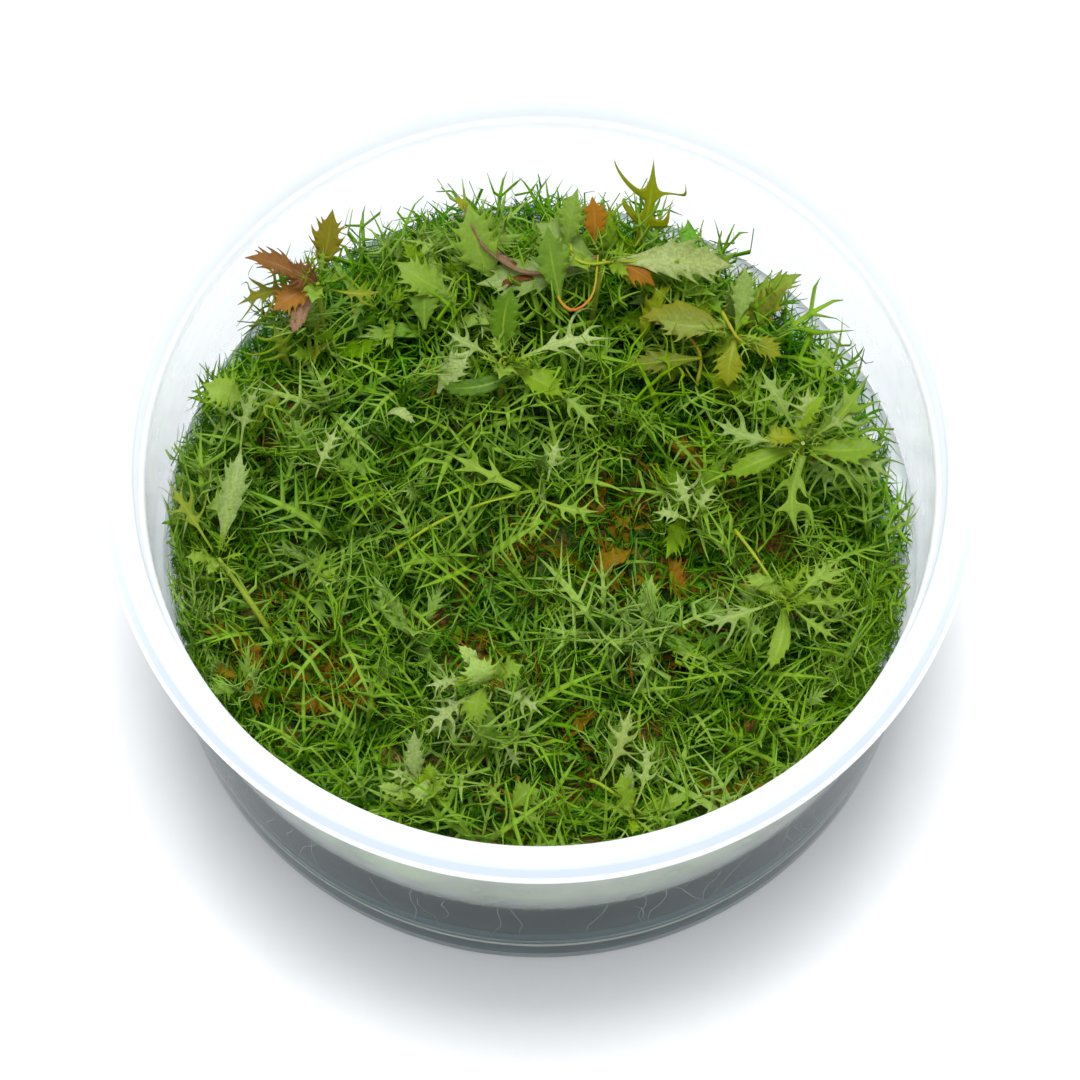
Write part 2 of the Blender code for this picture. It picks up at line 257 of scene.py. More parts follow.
def cupProfiles():
    top, crest, lip, foot = cup["height"], cup["crestRadius"], cup["lipRadius"], cup["footRadius"]
    ringInside = foot - cup["footEdge"] - cup["footRing"]
    step, stepHeight = cup["stepRadius"], cup["stepHeight"]
    under = step + cup["wall"]
    outside = [
        (crest, top), (crest + 0.8, top - 0.4), (lip - 0.4, top - 2.5), (lip, top - 3.0),
        (lip - 0.1, top - 3.4), (lip - 0.8, top - 3.2), (crest + 0.5, top - 1.8),
        (under + 0.1, stepHeight + 1.6), (under - 0.05, stepHeight - 1.0),
        (foot + 0.035, 1.2), (foot - 0.25, 0.35), (foot - cup["footEdge"], 0.0), (ringInside, 0.0),
        (ringInside - 0.9, cup["panelRaise"]), (0.0, cup["panelRaise"]),
    ]
    floor = cup["wall"]
    inside = [
        (crest, top), (crest - 0.6, top - 0.7), (step + 0.5, stepHeight + 0.4), (step, stepHeight),
        (wallInside(stepHeight - 1.0), stepHeight - 1.0), (wallInside(22.0), 22.0),
        (wallInside(cup["wallBottom"]), cup["wallBottom"]), (foot - floor - 0.7, floor),
        (ringInside - 0.2, floor), (ringInside - 1.3, cup["panelRaise"] + floor),
        (0.0, cup["panelRaise"] + floor),
    ]
    return softened(outside), softened(inside)


def makeCup():
    outside, inside = cupProfiles()
    piece = startRing("cupShell", cup["segments"], *outside[0])
    bpy.ops.mesh.select_all(action="SELECT")
    drawRings(outside[1:], outside[0])
    pick("edges", lambda edge: edge.is_boundary)
    drawRings(inside[1:], inside[0])
    faceOutwards()
    bpy.ops.object.shade_smooth_by_angle(angle=math.radians(cup["smoothAngle"]))
    return piece


def cupFinish():
    # clear plastic with cloudy plastic mixed in by height. Heights here are in metres.
    material, kit, where = newMaterial("milkyPlastic")
    height = where.axis(2)
    grain = where.noise(220.0, 1.0)
    mistAndPaintedSheen = where.noise(900.0, 1.0)
    dry = height.ramp(0.0212, 0.0226)
    rim = height.ramp(0.0400, 0.0425)
    # pale lines: a painted highlight low on the wall where light refracts at the corner, a pale
    # line at the foot's edge, and a painted grey-blue shade on the lip's front
    corner = (height - 0.0066).maths("ABSOLUTE").ramp(0.0003, 0.0006, 1.0, 0.0)
    foot = height.ramp(0.0003, 0.0009, 1.0, 0.0)
    # toFront and lip: painted shade, a grey-blue band on the front of the lip only
    toFront = where.axis(1).ramp(-0.03, 0.03, 1.0, 0.0)
    lip = height.ramp(0.0454, 0.0456) * height.ramp(0.0462, 0.0467, 1.0, 0.0) * toFront
    wall = dry * (1 - rim)
    milky = dry * 0.27 + rim * 0.6 + corner * 0.6 + foot * 0.4 + (grain - 0.5) * wall * 0.12
    haze = (0.04 + dry * (0.05 + mistAndPaintedSheen * 0.08) - rim * 0.05).clamped()
    bump = kit.node("ShaderNodeBump", None, {
        "Strength": 0.05, "Distance": 0.0002, "Height": mistAndPaintedSheen * wall,
    })
    # the clear part's IOR is low, or the white studio mirrors in it and hides the gel
    clear = kit.node("ShaderNodeBsdfPrincipled", None, {
        "Base Color": rgb(0.97, 0.985, 1.0), "Roughness": haze, "IOR": 1.12,
        "Transmission Weight": 1.0, "Normal": bump,
    })
    # pale: the colour of the painted highlight low on the wall
    pale = corner.mixed(rgb(0.95, 0.965, 0.98), rgb(1.0, 0.97, 0.86))
    white = kit.node("ShaderNodeBsdfPrincipled", None, {
        "Base Color": lip.mixed(pale, rgb(0.50, 0.57, 0.67)), "Roughness": 0.28, "IOR": 1.49,
    })
    glow = kit.node("ShaderNodeBsdfTranslucent", None, {"Color": rgb(0.96, 0.975, 0.99)})
    # the lip's front gets more of the grey-blue painted shade and less glow
    cloudy = kit.node("ShaderNodeMixShader", None, {
        0: (0.6 - lip * 0.35).clamped(), 1: white, 2: glow,
    })
    mix = kit.node("ShaderNodeMixShader", None, {0: milky.clamped(), 1: clear, 2: cloudy})
    return finishMaterial(material, mix)


def makeGel():
    ringInside = cup["footRadius"] - cup["footEdge"] - cup["footRing"]
    edge = wallInside(gel["top"]) - gel["wallGap"]
    floor = cup["wall"] + gel["wallGap"]
    surface = [(radius, gel["top"]) for radius in np.linspace(3.0, edge - 1.0, gel["rings"])]
    side = [
        (edge - 0.35, gel["top"] + 0.12), (edge, gel["top"] + gel["meniscus"]), (edge, gel["top"]),
        (wallInside(cup["wallBottom"]) - gel["wallGap"], cup["wallBottom"]),
        (cup["footRadius"] - cup["wall"] - 0.7, floor), (ringInside - 0.2, floor),
        (ringInside - 1.3, cup["panelRaise"] + floor), (0.0, cup["panelRaise"] + floor),
    ]
    start = (1.5, gel["top"])
    piece = startRing("gelDisc", gel["segments"], *start, "TRIFAN")
    pick("edges", lambda edge: edge.is_boundary)
    drawRings(surface + side, start)
    faceOutwards()
    # the set surface is a little uneven
    for vert in piece.data.vertices:
        x, y, z = (value / mm for value in vert.co)
        if z > gel["top"] - 0.1:
            fade = min(max((edge - math.hypot(x, y)) / 3.0, 0.0), 1.0)
            wave = math.sin(x / 3.1 + 2 * math.sin(y / 5.3)) * math.cos(y / 3.7 - 0.8)
            vert.co.z += gel["unevenness"] * mm * fade * wave
    bpy.ops.object.shade_smooth_by_angle(angle=math.radians(cup["smoothAngle"]))
    return piece


def gelFinish():
    material, kit, where = newMaterial("setGel")
    lumps = where.noise(260.0, 0.0)
    bump = kit.node("ShaderNodeBump", None, {"Strength": 0.2, "Distance": 0.0003, "Height": lumps})
    body = kit.node("ShaderNodeBsdfPrincipled", None, {
        "Base Color": rgb(0.72, 0.95, 0.96), "Roughness": 0.03 + lumps * 0.05, "IOR": 1.34,
        "Transmission Weight": 1.0, "Normal": bump,
    })
    inside = kit.node("ShaderNodeVolumeAbsorption", None, {
        "Color": gel["tint"], "Density": gel["depth"],
    })
    # a painted pale ring, the wall's reflection in the gel's surface where it meets the wall, but
    # not at the front
    surface = where.axis(2).ramp(0.0208, 0.0212)
    ring = surface * where.reach().ramp(0.0440, 0.0470) * where.axis(1).ramp(-0.030, -0.012)
    # painted sheen: a pale shader that stands in for the wall's reflection in the gel's surface
    mistAndPaintedSheen = kit.node("ShaderNodeBsdfPrincipled", None, {
        "Base Color": rgb(0.80, 0.85, 0.88), "Roughness": 0.4,
    })
    mix = kit.node("ShaderNodeMixShader", None, {0: ring * 0.8, 1: body, 2: mistAndPaintedSheen})
    return finishMaterial(material, mix, inside)


print("cup and gel")
place(makeCup(), cupFinish(), "cup", "cup")
place(makeGel(), gelFinish(), "gel", "gel")


# leaf forms, drawn flat, one unit long, from a plane
# rachis: (place along the leaf, half width) from root to tip. lobes: for a gap between two
# points of the rachis, how far its lobe reaches out and forwards. steps: how wide a lobe is
# on its way to the point, as shares of that gap. thick: the blade's thickness.
leafForms = {
    "needle": {
        "rachis": [(0, 0.013), (0.3, 0.016), (0.335, 0.018), (0.46, 0.018), (0.5, 0.018),
            (0.61, 0.016), (0.645, 0.015), (0.83, 0.009), (1, 0)],
        "lobes": {1: (0.2, 0.16), 3: (0.27, 0.22), 5: (0.2, 0.22)},
        "steps": (0.6,), "thick": 0.013,
    },
    "comb": {
        "rachis": [(0, 0.013), (0.24, 0.018), (0.28, 0.022), (0.37, 0.024), (0.41, 0.025),
            (0.5, 0.025), (0.54, 0.022), (0.63, 0.02), (0.67, 0.017), (0.84, 0.009), (1, 0)],
        "lobes": {1: (0.17, 0.14), 3: (0.24, 0.2), 5: (0.24, 0.24), 7: (0.15, 0.22)},
        "steps": (), "thick": 0.013,
    },
    "twig": {
        "rachis": [(0, 0.012), (0.25, 0.014), (0.28, 0.015), (0.41, 0.015), (0.44, 0.015),
            (0.56, 0.014), (0.59, 0.013), (0.8, 0.007), (1, 0)],
        "lobes": {1: (0.2, 0.15), 3: (0.25, 0.2), 5: (0.19, 0.2)},
        "steps": (0.55,), "thick": 0.012,
    },
    "fork": {
        "rachis": [(0, 0.013), (0.38, 0.015), (0.42, 0.019), (0.56, 0.02), (0.6, 0.017),
            (0.8, 0.01), (1, 0)],
        "lobes": {1: (0.29, 0.26), 3: (0.22, 0.27)},
        "steps": (0.6,), "thick": 0.013,
    },
    "lobed": {
        "rachis": [(0, 0.014), (0.3, 0.018), (0.38, 0.03), (0.435, 0.036), (0.55, 0.042),
            (0.605, 0.042), (0.71, 0.034), (0.755, 0.028), (0.88, 0.014), (1, 0)],
        "lobes": {2: (0.29, 0.2), 4: (0.33, 0.28), 6: (0.2, 0.24)},
        "steps": (0.66, 0.38), "thick": 0.014,
    },
    "feather": {
        "rachis": [(0, 0.018), (0.28, 0.024), (0.36, 0.045), (0.46, 0.055), (0.56, 0.055),
            (0.66, 0.045), (0.76, 0.035), (1, 0)],
        "lobes": {1: (0.12, 0.12), 2: (0.22, 0.18), 3: (0.24, 0.22), 4: (0.2, 0.22),
            5: (0.12, 0.18)},
        "steps": (), "thick": 0.014,
    },
    "toothed": {
        "rachis": [(0, 0.03), (0.14, 0.045), (0.26, 0.09), (0.34, 0.13), (0.4, 0.15),
            (0.49, 0.17), (0.55, 0.17), (0.63, 0.16), (0.69, 0.14), (0.76, 0.115), (0.81, 0.085),
            (1, 0)],
        "lobes": {2: (0.07, 0.1), 4: (0.1, 0.13), 6: (0.11, 0.14), 8: (0.1, 0.13), 9: (0.05, 0.1)},
        "steps": (0.5,), "thick": 0.012,
    },
    "lance": {
        "rachis": [(0, 0.03), (0.15, 0.06), (0.3, 0.1), (0.45, 0.12), (0.55, 0.115), (0.65, 0.1),
            (0.78, 0.07), (0.88, 0.042), (1, 0)],
        "lobes": {4: (0.03, 0.07), 5: (0.035, 0.08), 6: (0.03, 0.07)},
        "steps": (), "thick": 0.014,
    },
    "antler": {
        "rachis": [(0, 0.05), (0.2, 0.045), (0.27, 0.05), (0.36, 0.05), (0.5, 0.045),
            (0.56, 0.05), (0.64, 0.04), (1, 0)],
        "lobes": {2: (0.24, 0.24), 5: (0.28, 0.26)},
        "steps": (0.7, 0.4), "thick": 0.022,
    },
}


def readMesh(mesh):
    points = np.empty(len(mesh.vertices) * 3)
    mesh.vertices.foreach_get("co", points)
    loops = np.empty(len(mesh.loops), dtype=np.int64)
    mesh.loops.foreach_get("vertex_index", loops)
    return points.reshape(-1, 3), loops


def drawLeaf(name, rounds=0):
    # a strip is pulled out from a plane, then each lobe from an edge of the strip
    form = leafForms[name]
    rachis = form["rachis"]
    deselect()
    bpy.ops.mesh.primitive_plane_add(size=1, location=(0, 0.5, 0))
    piece = bpy.context.object
    bpy.ops.object.transform_apply(location=True, rotation=True, scale=True)
    editOn("EDGE")
    bpy.ops.mesh.select_all(action="SELECT")
    bpy.ops.transform.resize(value=(2 * rachis[0][1], rachis[1][0], 1), center_override=(0, 0, 0))
    pick("edges", lambda edge: all(vert.co.y > 1e-5 for vert in edge.verts))
    width = rachis[0][1]
    for index, (along, half) in enumerate(rachis[1:]):
        if index:
            ahead = (0, along - rachis[index][0], 0)
            bpy.ops.mesh.extrude_region_move(TRANSFORM_OT_translate={"value": ahead})
        if half > 0:
            bpy.ops.transform.resize(value=(half / width, 1, 1), center_override=(0, along, 0))
            width = half
        else:
            bpy.ops.mesh.merge(type="CENTER")
    for gap, (reach, rise) in form["lobes"].items():
        low, high = rachis[gap], rachis[gap + 1]
        for side in (-1, 1):
            def onEdge(edge):
                ends = sorted((vert.co.y, side * vert.co.x) for vert in edge.verts)
                return all(math.dist(end, at) < 1e-4 for end, at in zip(ends, (low, high)))
            pick("edges", onEdge)
            centre = [side * (low[1] + high[1]) / 2, (low[0] + high[0]) / 2, 0]
            sizes = (1.0, *form["steps"], 0.0)
            count = len(sizes) - 1
            for step in range(count):
                # a lobe starts outwards and turns forwards
                turn = (step + 0.5) / count - 0.5
                move = (side * reach / count * (1 - 0.5 * turn), rise / count * (1 + 0.7 * turn), 0)
                bpy.ops.mesh.extrude_region_move(TRANSFORM_OT_translate={"value": move})
                centre = [place + by for place, by in zip(centre, move)]
                if sizes[step + 1] > 0:
                    size = sizes[step + 1] / sizes[step]
                    bpy.ops.transform.resize(value=(size, size, 1), center_override=centre)
                else:
                    bpy.ops.mesh.merge(type="CENTER")
    faceOutwards()
    if rounds:
        # rounds the edges but keeps each point sharp, and gives the blade a midrib to fold on
        smooth = piece.modifiers.new("smooth", "SUBSURF")
        smooth.levels = smooth.render_levels = rounds
        smooth.boundary_smooth = "PRESERVE_CORNERS"
    shell = piece.modifiers.new("thickness", "SOLIDIFY")
    shell.thickness = form["thick"]
    shell.offset = 0.0
    applyModifiers(piece)
    points, loops = readMesh(piece.data)
    totals = np.array([polygon.loop_total for polygon in piece.data.polygons])
    bpy.data.objects.remove(piece, do_unlink=True)
    return {"points": points, "loops": loops, "totals": totals}


# the carpet uses coarse and medium forms hundreds of times, the larger shoots use fine ones
coarse = {name: drawLeaf(name) for name in ("needle", "comb", "twig", "fork", "feather")}
medium = {name: drawLeaf(name, 1) for name in ("lobed", "toothed")}
fine = {name: drawLeaf(name, 2) for name in ("lobed", "toothed", "lance", "antler")}
for name, form in (*coarse.items(), *medium.items()):
    print("leaf form", name, len(form["totals"]), "faces")


looseness = {"coarse": 0.3, "medium": 0.15, "lobed": 0.22, "blade": 0.07}  # how far lobes stray


def bendLeaves(form, root, heading, pitch, droop, length, width, roll, fold, sway, stray):
    # lays a flat leaf form along one arc per leaf; the arrays have one number per leaf
    flat = form["points"]
    across = flat[None, :, 0] * width[:, None] * length[:, None]
    along = np.clip(flat[None, :, 1], 0, None)
    rise = flat[None, :, 2] * length[:, None]
    start = pitch[:, None]
    turn = np.where(np.abs(droop) < 1e-3, 1e-3, droop)[:, None]
    reach = length[:, None] * (np.sin(start + turn * along) - np.sin(start)) / turn
    lift = length[:, None] * (np.cos(start) - np.cos(start + turn * along)) / turn
    ahead = np.stack([np.cos(heading), np.sin(heading), 0 * heading], 1)[:, None, :]
    side = np.stack([-np.sin(heading), np.cos(heading), 0 * heading], 1)[:, None, :]
    up = np.array([0.0, 0.0, 1.0])
    angle = start + turn * along
    normal = -np.sin(angle)[..., None] * ahead + np.cos(angle)[..., None] * up
    rolled = roll[:, None] * (0.4 + along)
    sideway = np.cos(rolled)[..., None] * side + np.sin(rolled)[..., None] * normal
    normal = np.cos(rolled)[..., None] * normal - np.sin(rolled)[..., None] * side
    middle = root[:, None, :] + reach[..., None] * ahead + lift[..., None] * up
    middle = middle + (sway[:, None] * length[:, None] * along ** 2)[..., None] * side
    lifted = rise + fold[:, None] * np.abs(across)
    points = middle + across[..., None] * sideway + lifted[..., None] * normal
    return points + lobeStray(flat, np.abs(across), stray, len(root))


def lobeStray(flat, across, stray, count):
    # every lobe bends its own way: points near each other move together
    phase = rng.uniform(0, 2 * math.pi, (count, 1, 3))
    wave = np.sin(15 * flat[None, :, 1:2] + 2 * np.sign(flat[None, :, 0:1]) + phase)
    outer = np.clip((np.abs(flat[:, 0]) - 0.03) / 0.1, 0, 1)
    return stray * (outer * across)[..., None] * wave


def keepInside(points, limit=44.0):
    # leaves that reach the wall press against it, and none goes into the gel
    room = 2.55
    radius = np.hypot(points[..., 0], points[..., 1])
    start = limit + 0.35 - room
    over = np.clip(radius - start, 0, None)
    pressed = start + room * (1 - np.exp(-over / room))
    size = np.where(radius > start, pressed / np.maximum(radius, 1e-6), 1.0)
    points = points.copy()
    points[..., :2] *= size[..., None]
    points[..., 2] = np.maximum(points[..., 2], gel["top"] + 0.35)
    return points


def leafRows(form, rows, points, deep=0.0):
    # a part for joinedMesh from grown leaves, whose last three numbers are their tint
    tint = np.empty(points.shape[:2] + (4,))
    tint[..., :3] = rows[:, None, 11:14]
    # painted shade by depth, less on brown leaves
    tint[..., 3] = deep * (1 - 0.7 * tint[..., 2])
    return points, form["loops"], form["totals"], tint, form["points"][:, :2] + [0.5, 0]


def plainTint(points, fresh=0.0):
    tint = np.zeros(points.shape[:2] + (4,))
    tint[..., 0] = fresh
    return tint


def joinedMesh(name, parts):
    # parts: points (n x v x 3 in mm), loops, totals, tint (n x v x 4), flat (v x 2)
    allPoints, allLoops, allTotals, allTints, allFlats = [], [], [], [], []
    base = 0
    for points, loops, totals, tint, flat in parts:
        count, size = points.shape[:2]
        allPoints.append(points.reshape(-1, 3))
        shift = base + np.arange(count)[:, None] * size
        allLoops.append((loops[None, :] + shift).ravel())
        allTotals.append(np.tile(totals, count))
        allTints.append(tint.reshape(-1, 4))
        allFlats.append(np.broadcast_to(flat, (count, size, 2)).reshape(-1, 2))
        base += count * size
    points = np.concatenate(allPoints) * mm
    loops = np.concatenate(allLoops)
    totals = np.concatenate(allTotals)
    mesh = bpy.data.meshes.new(name)
    mesh.vertices.add(len(points))
    mesh.vertices.foreach_set("co", points.ravel())
    mesh.loops.add(len(loops))
    mesh.loops.foreach_set("vertex_index", loops.astype(np.int32))
    mesh.polygons.add(len(totals))
    mesh.polygons.foreach_set("loop_start", (np.cumsum(totals) - totals).astype(np.int32))
    mesh.polygons.foreach_set("use_smooth", np.ones(len(totals), dtype=bool))
    addTint(mesh, np.concatenate(allTints), np.concatenate(allFlats)[loops])
    mesh.update(calc_edges=True)
    piece = bpy.data.objects.new(name, mesh)
    bpy.context.scene.collection.objects.link(piece)
    return piece


def addTint(mesh, tints, flats):
    # what the leaf finishes read: a tint for each vertex, a place on the leaf for each corner
    tint = mesh.color_attributes.new("tint", "FLOAT_COLOR", "POINT")
    tint.data.foreach_set("color", tints.astype(np.float32).ravel())
    uv = mesh.uv_layers.new(name="flat")
    uv.data.foreach_set("uv", flats.astype(np.float32).ravel())


def tubes(paths, radii, sides=5):
    # round stems along paths (n x k x 3) with a radius for each point (k), closed at both ends
    count, steps = paths.shape[:2]
    ahead = np.gradient(paths, axis=1)
    ahead /= np.linalg.norm(ahead, axis=2, keepdims=True)
    other = np.where(np.abs(ahead[..., 2:3]) > 0.8, np.array([1.0, 0, 0]), np.array([0, 0, 1.0]))
    first = np.cross(ahead, other)
    first /= np.linalg.norm(first, axis=2, keepdims=True)
    second = np.cross(ahead, first)
    turn = 2 * np.pi * np.arange(sides) / sides
    ring = np.cos(turn)[:, None] * first[:, :, None] + np.sin(turn)[:, None] * second[:, :, None]
    points = paths[:, :, None, :] + ring * radii[None, :, None, None]
    points = points.reshape(count, steps * sides, 3)
    loops, totals = [], []
    for step in range(steps - 1):
        for side in range(sides):
            a, b = step * sides + side, step * sides + (side + 1) % sides
            loops += [a, b, b + sides, a + sides]
            totals.append(4)
    loops += list(range(sides))[::-1] + [(steps - 1) * sides + side for side in range(sides)]
    totals += [sides, sides]
    flat = np.zeros((steps * sides, 2))
    flat[:, 1] = np.repeat(np.linspace(0, 1, steps), sides)
    return points, np.array(loops), np.array(totals), flat


# leaf finishes
def leafFinish(name, look):
    # tint: how fresh the green is, how silver (a pale tone and painted sheen), how brown, and in
    # alpha how deep the leaf lies, which sets its painted shade
    material, kit, where = newMaterial(name)
    tint = kit.node("ShaderNodeAttribute", {"attribute_name": "tint"})
    fresh, silver, brown = (
        kit.node("ShaderNodeSeparateColor", None, {0: tint}, index) for index in range(3))
    deep = kit.node("ShaderNodeAttribute", {"attribute_name": "tint"}, out=3)
    flat = kit.node("ShaderNodeUVMap", {"uv_map": "flat"})
    across, along = flat.axis(0), flat.axis(1)
    patches = where.noise(700.0, 1.0)
    speckle = where.noise(3200.0, 0.0)
    edge = (across - 0.5).maths("ABSOLUTE")
    green = (fresh + (patches - 0.5) * 0.5).clamped().mixed(look["old"], look["young"])
    # silver: the leaf's own pale tone and a painted sheen in the base colour, strongest along the
    # middle of the leaf
    paleToneAndPaintedSheen = edge.ramp(0.02, 0.25, 1.0, 0.5) * silver * speckle.ramp(0.3, 0.7, 0.6, 1.0)
    green = paleToneAndPaintedSheen.clamped().mixed(green, look["silver"])
    rib = edge.ramp(0.0, 0.02, 0.55, 0.0) * along.ramp(0.5, 0.95, 1.0, 0.0)
    green = rib.clamped().mixed(green, look["rib"])
    green = (brown * (0.55 + patches * 0.9)).clamped().mixed(green, look["brown"])
    # painted shade: the deeper a leaf lies, the more the shade colour darkens it
    green = deep.mixed(green, look["shade"], "MULTIPLY")
    veins = ((along - edge * 1.1) * 62.0 + patches * 3.0).maths("SINE")
    relief = veins * 0.35 + speckle * 0.65
    bump = kit.node("ShaderNodeBump", None, {
        "Strength": look["relief"], "Distance": 0.00012, "Height": relief,
    })
    face = kit.node("ShaderNodeBsdfPrincipled", None, {
        "Base Color": green, "Roughness": (look["rough"] + (speckle - 0.5) * 0.2).clamped(),
        "IOR": 1.42, "Specular IOR Level": look["gloss"], "Normal": bump,
    })
    through = kit.node("ShaderNodeBsdfTranslucent", None, {"Color": look["through"]})
    mix = kit.node("ShaderNodeMixShader", None, {0: look["thin"], 1: face, 2: through})
    return finishMaterial(material, mix)


# thin is the share of light that goes through. shade is a painted shade, multiplied into what lies
# deep; silver is a pale tone with painted sheen.
freshLeaf = {
    "old": rgb(0.027, 0.128, 0.0004), "young": rgb(0.17, 0.345, 0.001),
    "silver": rgb(0.36, 0.49, 0.14), "rib": rgb(0.30, 0.45, 0.03), "brown": rgb(0.30, 0.13, 0.008),
    "shade": rgb(0.36, 0.82, 0.12), "through": rgb(0.14, 0.38, 0.002),
    "thin": 0.32, "rough": 0.42, "relief": 0.3, "gloss": 0.08,
}
broadLeaf = {**freshLeaf, "relief": 0.2, "gloss": 0.16}
finishes = {
    "carpet": leafFinish("freshGreenLeaf", freshLeaf),
    "leaf": leafFinish("broadGreenLeaf", {
        **broadLeaf, "old": rgb(0.035, 0.11, 0.0005), "young": rgb(0.19, 0.31, 0.001),
    }),
    "leaf_silver": leafFinish("silverGreenLeaf", {
        **broadLeaf, "old": rgb(0.05, 0.12, 0.004), "young": rgb(0.15, 0.27, 0.008),
        "silver": rgb(0.40, 0.48, 0.18), "rough": 0.36, "gloss": 0.2,
    }),
    "leaf_olive": leafFinish("oliveBronzeLeaf", {
        **broadLeaf, "old": rgb(0.07, 0.10, 0.002), "young": rgb(0.23, 0.26, 0.002),
        "silver": rgb(0.3, 0.38, 0.12), "through": rgb(0.26, 0.30, 0.004),
    }),
    "leaf_rust": leafFinish("rustyOldLeaf", {
        **broadLeaf, "old": rgb(0.12, 0.048, 0.014), "young": rgb(0.33, 0.14, 0.006),
        "silver": rgb(0.42, 0.28, 0.20), "rib": rgb(0.45, 0.25, 0.08),
        "through": rgb(0.34, 0.14, 0.006),
    }),
    "stem": leafFinish("yellowGreenStem", {
        **freshLeaf, "old": rgb(0.10, 0.17, 0.004), "young": rgb(0.26, 0.34, 0.01),
        "silver": rgb(0.5, 0.55, 0.2), "brown": rgb(0.45, 0.10, 0.02),
        "thin": 0.12, "relief": 0.1, "gloss": 0.3,
    }),
}


# the carpet of young plantlets
# inset: from each of these y on, the carpet stands in from the wall by so much more.
# slim and lobes: how wide the broad and the lobed leaves are. Lengths are in millimetres.
carpet = {
    "top": 26.0,
    "backRise": 5.8,
    "edgeDrop": 1.6,
    "radius": 43.4,
    "inset": ((-14, 2.0), (8, 4.4)),
    "rightInset": 2.8,
    "centreRadius": 15.0,
    "slim": 0.62,
    "lobes": 1.25,
    "clearingDrop": 2.4,
    "edgeRow": {
        "count": 116, "from": -38, "to": 218, "radius": (40.8, 43.0), "height": (1.4, 3.0),
        "rightIn": 3.6,
    },
}
sectors = ("front_right", "right", "back_right", "back_left", "left", "front_left")
# tall and low: the fine plantlets in two layers. broad, silver and olive: larger ones between them.
# edge: a row of small ones at the wall. above: how far the crown is above the carpet.
plantKinds = {
    "tall": {
        "forms": ("needle", "twig", "fork", "comb"), "share": (0.36, 0.28, 0.26, 0.1),
        "leaves": (9, 12), "length": (6.8, 11.6), "silver": 0.26, "fresh": 0.1, "olive": 0.0,
        "above": (0.2, 2.6), "spacing": 6.8, "inset": 1.0, "open": 0.1,
    },
    "low": {
        "forms": ("needle", "twig", "fork", "comb"), "share": (0.3, 0.3, 0.2, 0.2),
        "leaves": (8, 11), "length": (5.4, 9.4), "silver": 0.06, "fresh": -0.3, "olive": 0.0,
        "above": (-4.4, -1.2), "spacing": 4.0, "inset": 0.55, "open": 0.4,
    },
    "edge": {
        "forms": ("needle", "twig", "fork"), "share": (0.4, 0.4, 0.2), "leaves": (6, 8),
        "length": (3.6, 6.2), "silver": 0.04, "fresh": -0.05, "olive": 0.0,
    },
    "broad": {
        "forms": ("toothed", "lobed", "feather"), "share": (0.62, 0.28, 0.1), "leaves": (6, 9),
        "length": (5.5, 9.5), "silver": 0.2, "fresh": 0.12, "olive": 0.08,
    },
    "silver": {
        "forms": ("lobed", "feather", "toothed"), "share": (0.66, 0.24, 0.1), "leaves": (7, 10),
        "length": (5.5, 9.5), "silver": 0.7, "fresh": -0.05, "olive": 0.0,
    },
    "olive": {
        "forms": ("toothed", "lobed"), "share": (0.6, 0.4), "leaves": (5, 7),
        "length": (6.0, 10.0), "silver": 0.2, "fresh": 0.1, "olive": 0.35,
    },
}
# where the larger ones stand: x, y and how far the crown is above the carpet
largerPlants = {
    "broad": [
        (-17.8, 25.5, 1.0), (-13.1, 29.4, 0.6), (-2.4, 32.0, -1.0), (2.4, 29.6, -0.5),
        (8.3, 31.6, -1.5), (14.2, 28.8, -0.5), (-11.8, 25.0, 1.0), (-24.8, 22.0, 0.5),
        (17.5, 2.0, 1.5), (-39.8, 4.1, 0.5), (37.0, -11.0, 0.5), (-9.0, 32.0, -1.0),
        (19.0, 30.0, -1.5),
    ],
    "silver": [
        (-7.6, 29.2, 0.5), (17.1, 29.6, -1.0), (-21.6, 28.0, -0.5), (-26.9, 7.5, 1.0),
        (-14.0, 3.7, 1.5), (0.0, 6.3, 1.5), (23.1, -11.8, 1.0), (-13.9, -13.5, 1.0),
        (6.9, -28.2, 1.0), (12.7, -13.9, 1.0), (29.8, -23.3, 0.5), (-33.4, -20.5, 0.5),
        (-24.4, -6.0, 0.5), (31.0, 8.0, 0.5),
    ],
    "olive": [(18.8, 19.5, 1.5), (11.8, 22.1, 1.0), (-29.5, 19.1, 1.0), (23.0, 24.0, 0.0)],
}
# where the carpet is thin and old brown leaves show: x, y and radius
clearings = [
    (-33.0, -16.5, 3.0), (-24.0, -19.7, 4.0), (8.5, 3.4, 4.6), (4.4, -27.0, 3.0),
    (11.8, -5.4, 3.4), (18.8, -9.0, 3.0), (11.6, -18.0, 3.0), (18.9, 8.0, 3.6),
    (-27.6, -10.4, 2.6), (-7.0, -15.0, 2.6), (0.0, -1.6, 2.4), (22.8, -33.4, 2.8),
    (2.4, 25.0, 2.6),
]


def carpetHeight(x, y):
    back = np.clip((y - 4) / 28, 0, 1)
    edge = np.clip((np.hypot(x, y) - 36) / 8, 0, 1)
    lumps = 0.8 * np.sin(x / 5.3 + 1.1) * np.cos(y / 4.7 - 0.6) + 0.5 * np.sin(x / 2.9 - y / 3.7)
    return carpet["top"] + carpet["backRise"] * back - carpet["edgeDrop"] * edge + lumps


def openness(x, y):
    # 1 in the middle of a clearing, 0 outside all of them
    return max(
        max(0.0, 1 - math.hypot(x - middleX, y - middleY) / radius)
        for middleX, middleY, radius in clearings)


def atRight(x, y):
    # 1 at the right and the right of the back, where the carpet stands in from the wall
    return np.clip(x / 20, 0, 1) * np.clip((y + 12) / 16, 0, 1)


